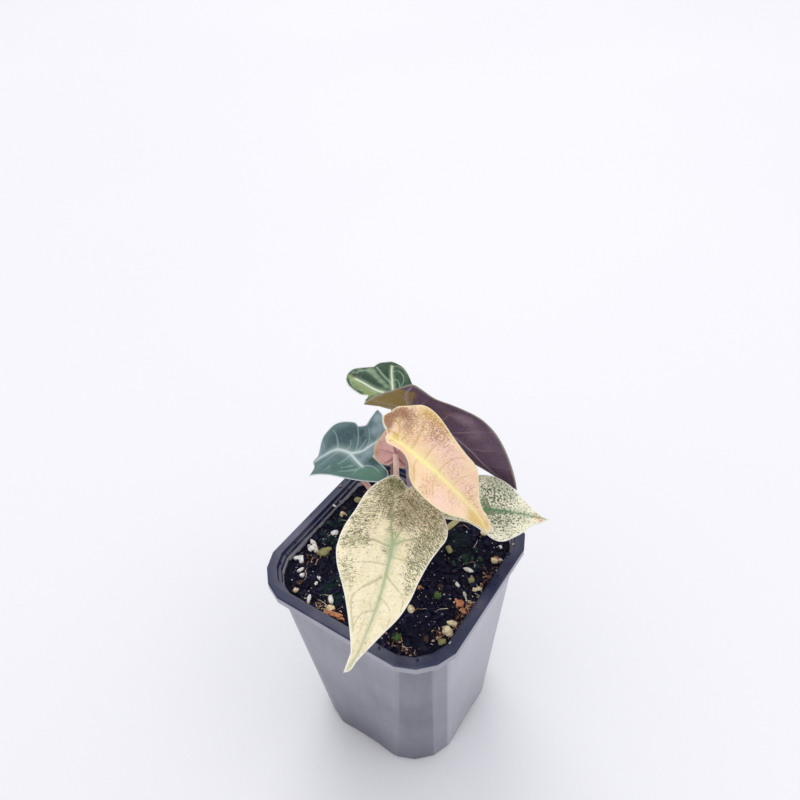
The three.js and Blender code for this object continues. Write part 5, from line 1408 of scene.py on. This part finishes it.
class MASKPLANT_OT_grains(bpy.types.Operator):
    """Scatters the crumbs, perlite, husks, pebbles, bark and prills on the mix"""

    bl_idname = "maskplant.grains"
    bl_label = "Loose grains"

    def execute(self, context):
        look = settings().mask_plant_mix
        chance = random.Random(look.seed)
        self.crumbs(look, chance)
        self.specks(look, chance)
        self.chips(look, chance)
        self.rim_bits(look, chance)
        return {"FINISHED"}

    def spot(self, chance, inset):
        """A chance place inside the pot's mouth."""
        half, cut = body_at(MIX_LEVEL)
        ring = cut_square(half - WALL - inset, cut)
        angle = chance.uniform(-math.pi, math.pi)
        reach = ring_reach(ring, angle) * math.sqrt(chance.random())
        return math.cos(angle) * reach, math.sin(angle) * reach

    def crumbs(self, look, chance):
        """Dark crumbs of peat and bark all over the bed, smaller at the stock."""
        heap = Heap(1, chance)
        for number in range(look.crumbs):
            x, y = self.spot(chance, 1.6)
            size = 0.5 + 1.5 * chance.random() ** 2.6
            if math.hypot(x - STOCK_X, y - STOCK_Y) < 5.6:
                size *= 0.4
            place = (x, y, mix_height(x, y) + size * 0.12)
            heap.drop((size * chance.uniform(1, 1.9), size, size * chance.uniform(0.5, 0.9)), place,
                      chance.uniform(0, 6.3), chance.uniform(-0.6, 0.6), number, 0.9)
        piece = heap.piece("mix_crumbs")
        skin = Finish("crumb_skin", specular_ior_level=0.2, roughness=0.5)
        own = skin.own("own")
        grain = skin.noise(1900.0, 3.0, 0.7)
        colour = skin.mix(own.step(0.3, 0.95) * 0.8, look.bed, look.crumb)
        colour = skin.mix(own.step(0.94, 0.97), colour, look.brown)
        green = (skin.near(-0.024, 0.0, 0.013) + skin.near(0.02, 0.012, 0.009)) * own
        colour = skin.mix(green.step(0.1, 0.8) * 0.7, colour, look.crumb_tinge)
        skin.set("Base Color", skin.mix(grain.step(0.56, 0.72) * 0.4, colour, look.grit))
        skin.relief(grain, 0.0003)
        dress(piece, skin, "soil")

    def specks(self, look, chance):
        """Small pale flecks of perlite dust and fibre between the crumbs."""
        heap = Heap(1, chance)
        for number in range(look.specks):
            x, y = self.spot(chance, 1.8)
            if math.hypot(x - STOCK_X, y - STOCK_Y) < 6:
                continue
            size = 0.22 + 0.4 * chance.random() ** 3
            place = (x, y, mix_height(x, y) + size * 0.5)
            heap.drop((size * chance.uniform(1, 2.2), size, size * 0.7), place,
                      chance.uniform(0, 6.3), chance.uniform(-0.5, 0.5), number, 0.7)
        piece = heap.piece("pale_specks")
        skin = Finish("speck_skin", roughness=0.8)
        own = skin.own("own")
        colour = skin.mix(own.step(0.1, 0.9), look.dim_speck, look.perlite)
        skin.set("Base Color", skin.mix(own.step(0.84, 0.86) * 0.7, colour, look.bark))
        dress(piece, skin, "soil")

    def chips(self, look, chance):
        """The larger pieces, one piece of the scene for each kind."""
        kinds = {"perlite": ("perlite_grains", 0.55), "husk": ("husk_sticks", 0.22),
                 "cream": ("cream_pebbles", 0.5), "bark": ("bark_nuggets", 0.9),
                 "olive": ("feed_prills", 0.35), "moss": ("moss_cushions", 0.7)}
        for kind, (name, rough) in kinds.items():
            heap = Heap(3, chance)
            for number, (own_kind, x, y, length, width, height, turn) in enumerate(CHIPS):
                if own_kind != kind:
                    continue
                place = (x, y, mix_height(x, y) + height * 0.22)
                heap.drop((length, width, height), place, math.radians(turn), 0.12, number + 20,
                          rough)
            piece = heap.piece(name, True)
            smooth(piece, 32)
            dress(piece, self.chip_finish(kind, getattr(look, kind)), "soil")
        self.moss_hairs(look, chance)

    def chip_finish(self, kind, colour):
        """A chip's own colour with paler and darker clouds and fine dark grain."""
        skin = Finish(f"{kind}_skin", roughness=0.7)
        own = skin.own("own")
        grain = skin.noise(1500.0, 4.0, 0.7)
        broad = skin.noise(500.0, 2.0, 0.5)
        dark = tuple(c * 0.3 for c in colour[:3]) + (1.0,)
        pale = tuple(min(1.0, c * 1.3 + 0.06) for c in colour[:3]) + (1.0,)
        made = skin.mix(broad.step(0.38, 0.64) * 0.7 + own * 0.2, pale, colour)
        made = skin.mix(broad.step(0.56, 0.68) * 0.6, made, dark)
        skin.set("Base Color", skin.mix(grain.step(0.54, 0.64) * 0.7, made, dark))
        skin.relief(grain * 0.6 + broad * 0.5, 0.0006)
        return skin

    def moss_hairs(self, look, chance):
        """Short green hairs on the moss."""
        points = []
        faces = []
        for kind, middle_x, middle_y, length, _, height, _ in CHIPS:
            if kind != "moss":
                continue
            for _ in range(HAIRS_PER_CUSHION):
                angle = chance.uniform(0, 2 * math.pi)
                reach = chance.random() ** 0.5 * length * 0.5
                x = middle_x + math.cos(angle) * reach
                y = middle_y + math.sin(angle) * reach
                z = mix_height(x, y) + height * 0.45 * (1 - (reach / length * 1.6) ** 2)
                tall = chance.uniform(0.5, 1.3)
                lean = (math.cos(angle) * tall * 0.6, math.sin(angle) * tall * 0.6)
                start = len(points)
                for k in range(3):
                    way = k / 3 * 2 * math.pi
                    points.append((x + math.cos(way) * 0.13, y + math.sin(way) * 0.13, z - 0.2))
                points.append((x + lean[0], y + lean[1], z + tall))
                faces += [(start, start + 1, start + 3), (start + 1, start + 2, start + 3),
                          (start + 2, start, start + 3), (start + 2, start + 1, start)]
        piece = from_arrays("moss_hairs", np.array(points) * MM, faces)
        skin = Finish("moss_hair_skin", roughness=0.6)
        hue = skin.noise(700.0, 2.0, 0.5)
        skin.set("Base Color", skin.mix(hue.step(0.4, 0.6), look.moss, look.moss_tip))
        dress(piece, skin, "soil")

    def rim_bits(self, look, chance):
        """Crumbs of peat and husk left on the rim and its inner ledge."""
        heap = Heap(1, chance)
        ledge = cut_square(RIM_HALF - 1.8, RIM_CUT - 1)
        for number in range(RIM_CRUMBS):
            angle = chance.uniform(-math.pi, math.pi)
            on_top = chance.random() < 0.35
            reach = ring_reach(ledge, angle) + chance.uniform(-1, 1)
            if not on_top:
                reach -= 2.4
            level = POT_HEIGHT if on_top else POT_HEIGHT - 1.4
            size = 0.25 + 0.8 * chance.random() ** 2.5
            place = (math.cos(angle) * reach, math.sin(angle) * reach, level + size * 0.25)
            heap.drop((size * chance.uniform(1, 2), size, size * 0.6), place,
                      chance.uniform(0, 6.3), 0.0, number, 0.8)
        piece = heap.piece("rim_crumbs")
        skin = Finish("rim_crumb_skin", roughness=0.8)
        own = skin.own("own")
        colour = skin.mix(own.step(0.55, 0.65), look.crumb, look.rim_crumb)
        skin.set("Base Color", skin.mix(own.step(0.86, 0.9), colour, look.husk))
        dress(piece, skin, "soil")


def upright_ring(middle, heading, radius, sides):
    """Points round a lying fibre, in the upright plane across its heading."""
    ring = []
    for k in range(sides):
        way = k / sides * 2 * math.pi
        aside = math.cos(way) * radius
        ring.append((middle[0] - math.sin(heading) * aside, middle[1] + math.cos(heading) * aside,
                     middle[2] + math.sin(way) * radius))
    return ring


class MASKPLANT_OT_fibres(bpy.types.Operator):
    """Lays thin pale fibres over the mix"""

    bl_idname = "maskplant.fibres"
    bl_label = "Fibres"

    def execute(self, context):
        look = settings().mask_plant_mix
        chance = random.Random(look.seed + 4)
        starts = [(-8.6, -28), (-24, -20), (-14, -26), (25, -8), (28, 4), (16, -16), (20, 16),
                  (-26, -6), (24, 12), (-22, 4), (10, 22), (-12, 24)]
        points = []
        faces = []
        for x, y in starts:
            heading = chance.uniform(0, 2 * math.pi)
            faces += tube_faces(len(points), FIBRE_STEPS, FIBRE_SIDES, clockwise=True)
            for step in range(FIBRE_STEPS):
                heading += chance.uniform(-0.35, 0.35)
                x += math.cos(heading) * FIBRE_STRIDE
                y += math.sin(heading) * FIBRE_STRIDE
                arch = 0.5 * math.sin(step / (FIBRE_STEPS - 1) * math.pi)
                radius = FIBRE_RADIUS * (1 - 0.6 * step / FIBRE_STEPS)
                points += upright_ring((x, y, mix_height(x, y) + 0.35 + arch), heading, radius,
                                       FIBRE_SIDES)
        self.litter(look, chance)
        piece = from_arrays("pale_fibres", np.array(points) * MM, faces)
        skin = Finish("fibre_skin", roughness=0.6)
        tint = skin.noise(300.0, 2.0, 0.5)
        skin.set("Base Color", skin.mix(tint.step(0.4, 0.6), look.husk, look.old_fibre))
        dress(piece, skin, "soil")
        return {"FINISHED"}

    def litter(self, look, chance):
        """Short broken bits of root and husk that lie in drifts along the wall."""
        drifts = [(30, -5.5, 1.3, 5.5, 120), (27.5, -18, 2.2, 3, 45), (20, -27.6, 6, 1.3, 60),
                  (-8, -29.4, 5, 1.3, 70), (-26, -14, 3, 4, 40), (29.6, 8, 1.2, 5, 30),
                  (-24, 20, 4, 4, 30), (8, 28, 7, 2, 30)]
        points = []
        faces = []
        shades = []
        for dx, dy, wide, deep, count in drifts:
            for _ in range(count):
                x = dx + chance.gauss(0, 0.6) * wide
                y = dy + chance.gauss(0, 0.6) * deep
                half, cut = body_at(MIX_LEVEL)
                limit = ring_reach(cut_square(half - WALL - 0.9, cut), math.atan2(y, x))
                if math.hypot(x, y) > limit:
                    continue
                heading = chance.uniform(0, 2 * math.pi)
                long = 0.5 + 1.6 * chance.random() ** 2
                thick = chance.uniform(0.07, 0.17)
                low = mix_height(x, y) + 0.15
                rise = chance.uniform(0, 0.45) * long
                faces += tube_faces(len(points), 2, LITTER_SIDES, clockwise=True)
                for end, z in ((-0.5, low), (0.5, low + rise)):
                    middle = (x + math.cos(heading) * long * end,
                              y + math.sin(heading) * long * end, z + 0.2)
                    points += upright_ring(middle, heading, thick, LITTER_SIDES)
                shades += [chance.random()] * (2 * LITTER_SIDES)
        piece = from_arrays("root_litter", np.array(points) * MM, faces, False)
        carry(piece, "own", shades)
        skin = Finish("litter_skin", roughness=0.6)
        own = skin.own("own")
        colour = skin.mix(own.step(0.2, 0.5), look.dark_litter, look.red_litter)
        colour = skin.mix(own.step(0.55, 0.7), colour, look.pale_litter)
        skin.set("Base Color", skin.mix(own.step(0.8, 0.9), colour, look.husk))
        dress(piece, skin, "soil")


class MASKPLANT_OT_stage(bpy.types.Operator):
    """Sets the pale floor, the soft lights and the camera"""

    bl_idname = "maskplant.stage"
    bl_label = "Stage, lights and camera"

    def execute(self, context):
        look = settings().mask_plant_stage
        clear_selection()
        bpy.ops.mesh.primitive_plane_add(size=8.0)
        floor = added("pale_floor")
        skin = Finish("floor_paint", roughness=0.55, specular_ior_level=0.3)
        cloud = skin.noise(1.2, 2.0, 0.5)
        dim = tuple(c * 0.97 for c in look.floor[:3]) + (1.0,)
        skin.set("Base Color", skin.mix(cloud.step(0.3, 0.7), look.floor, dim))
        floor.data.materials.append(skin.material)
        self.light(look)
        self.camera(look)
        context.scene.view_settings.view_transform = "Standard"
        return {"FINISHED"}

    def light(self, look):
        """Even light from all round, a large soft lamp behind the plant and a weak one."""
        world = bpy.data.worlds.new("even_light")
        world.use_nodes = True
        back = world.node_tree.nodes["Background"]
        back.inputs["Color"].default_value = look.air
        back.inputs["Strength"].default_value = look.sky
        bpy.context.scene.world = world
        lamps = [("soft_key", (-1.0, 1.1, 2.4), 1.5, look.key),
                 ("soft_fill", (1.4, 0.3, 1.9), 1.2, look.key * 0.25)]
        for name, place, size, power in lamps:
            lamp = bpy.data.lights.new(name, "AREA")
            lamp.shape = "DISK"
            lamp.size = size
            lamp.energy = power
            holder = bpy.data.objects.new(name, lamp)
            holder.location = place
            holder.rotation_euler = (Vector((0, 0, 0.08)) - Vector(place)).to_track_quat(
                "-Z", "Y").to_euler()
            bpy.context.collection.objects.link(holder)

    def camera(self, look):
        """The camera that the photo's view was taken from."""
        eye = bpy.data.cameras.new("photo_camera")
        eye.sensor_fit = "HORIZONTAL"
        eye.sensor_width = 36.0
        eye.lens = look.lens
        eye.clip_start = 0.01
        eye.clip_end = 20.0
        holder = bpy.data.objects.new("photo_camera", eye)
        heading = Matrix.Rotation(look.turn, 4, "Z")
        pitch = Matrix.Rotation(math.pi / 2 - look.tilt, 4, "X")
        spin = Matrix.Rotation(look.roll, 4, "Z")
        holder.matrix_world = Matrix.Translation(look.camera) @ heading @ pitch @ spin
        bpy.context.collection.objects.link(holder)
        bpy.context.scene.camera = holder


class MASKPLANT_PT_panel(bpy.types.Panel):
    """Lists the steps that build the plant"""

    bl_idname = "MASKPLANT_PT_panel"
    bl_label = "Potted Mask Plant"
    bl_space_type = "VIEW_3D"
    bl_region_type = "UI"
    bl_category = "Mask Plant"

    def draw(self, context):
        for step in STEPS:
            self.layout.operator(step.bl_idname)


STEPS = (MASKPLANT_OT_stage, MASKPLANT_OT_pot, MASKPLANT_OT_bed, MASKPLANT_OT_grains,
         MASKPLANT_OT_fibres, MASKPLANT_OT_stock, MASKPLANT_OT_stalks, MASKPLANT_OT_blades)
GROUPS = {
    "mask_plant_pot": MaskPlantPotSettings,
    "mask_plant_mix": MaskPlantMixSettings,
    "mask_plant_stalks": MaskPlantStalkSettings,
    "mask_plant_stage": MaskPlantStageSettings,
    **{f"mask_plant_{name}": leaf_settings(name, *look) for name, look in LEAF_LOOKS.items()},
}


def register():
    for group in GROUPS.values():
        bpy.utils.register_class(group)
    for step in (*STEPS, MASKPLANT_PT_panel):
        bpy.utils.register_class(step)
    for name, group in GROUPS.items():
        setattr(bpy.types.Scene, name, PointerProperty(type=group))


def unregister():
    for name in GROUPS:
        delattr(bpy.types.Scene, name)
    for step in (MASKPLANT_PT_panel, *reversed(STEPS)):
        bpy.utils.unregister_class(step)
    for group in reversed(list(GROUPS.values())):
        bpy.utils.unregister_class(group)


def main():
    register()
    bpy.ops.maskplant.stage()
    bpy.ops.maskplant.pot()
    bpy.ops.maskplant.bed()
    bpy.ops.maskplant.grains()
    bpy.ops.maskplant.fibres()
    bpy.ops.maskplant.stock()
    bpy.ops.maskplant.stalks()
    bpy.ops.maskplant.blades()


if __name__ == "__main__":
    main()
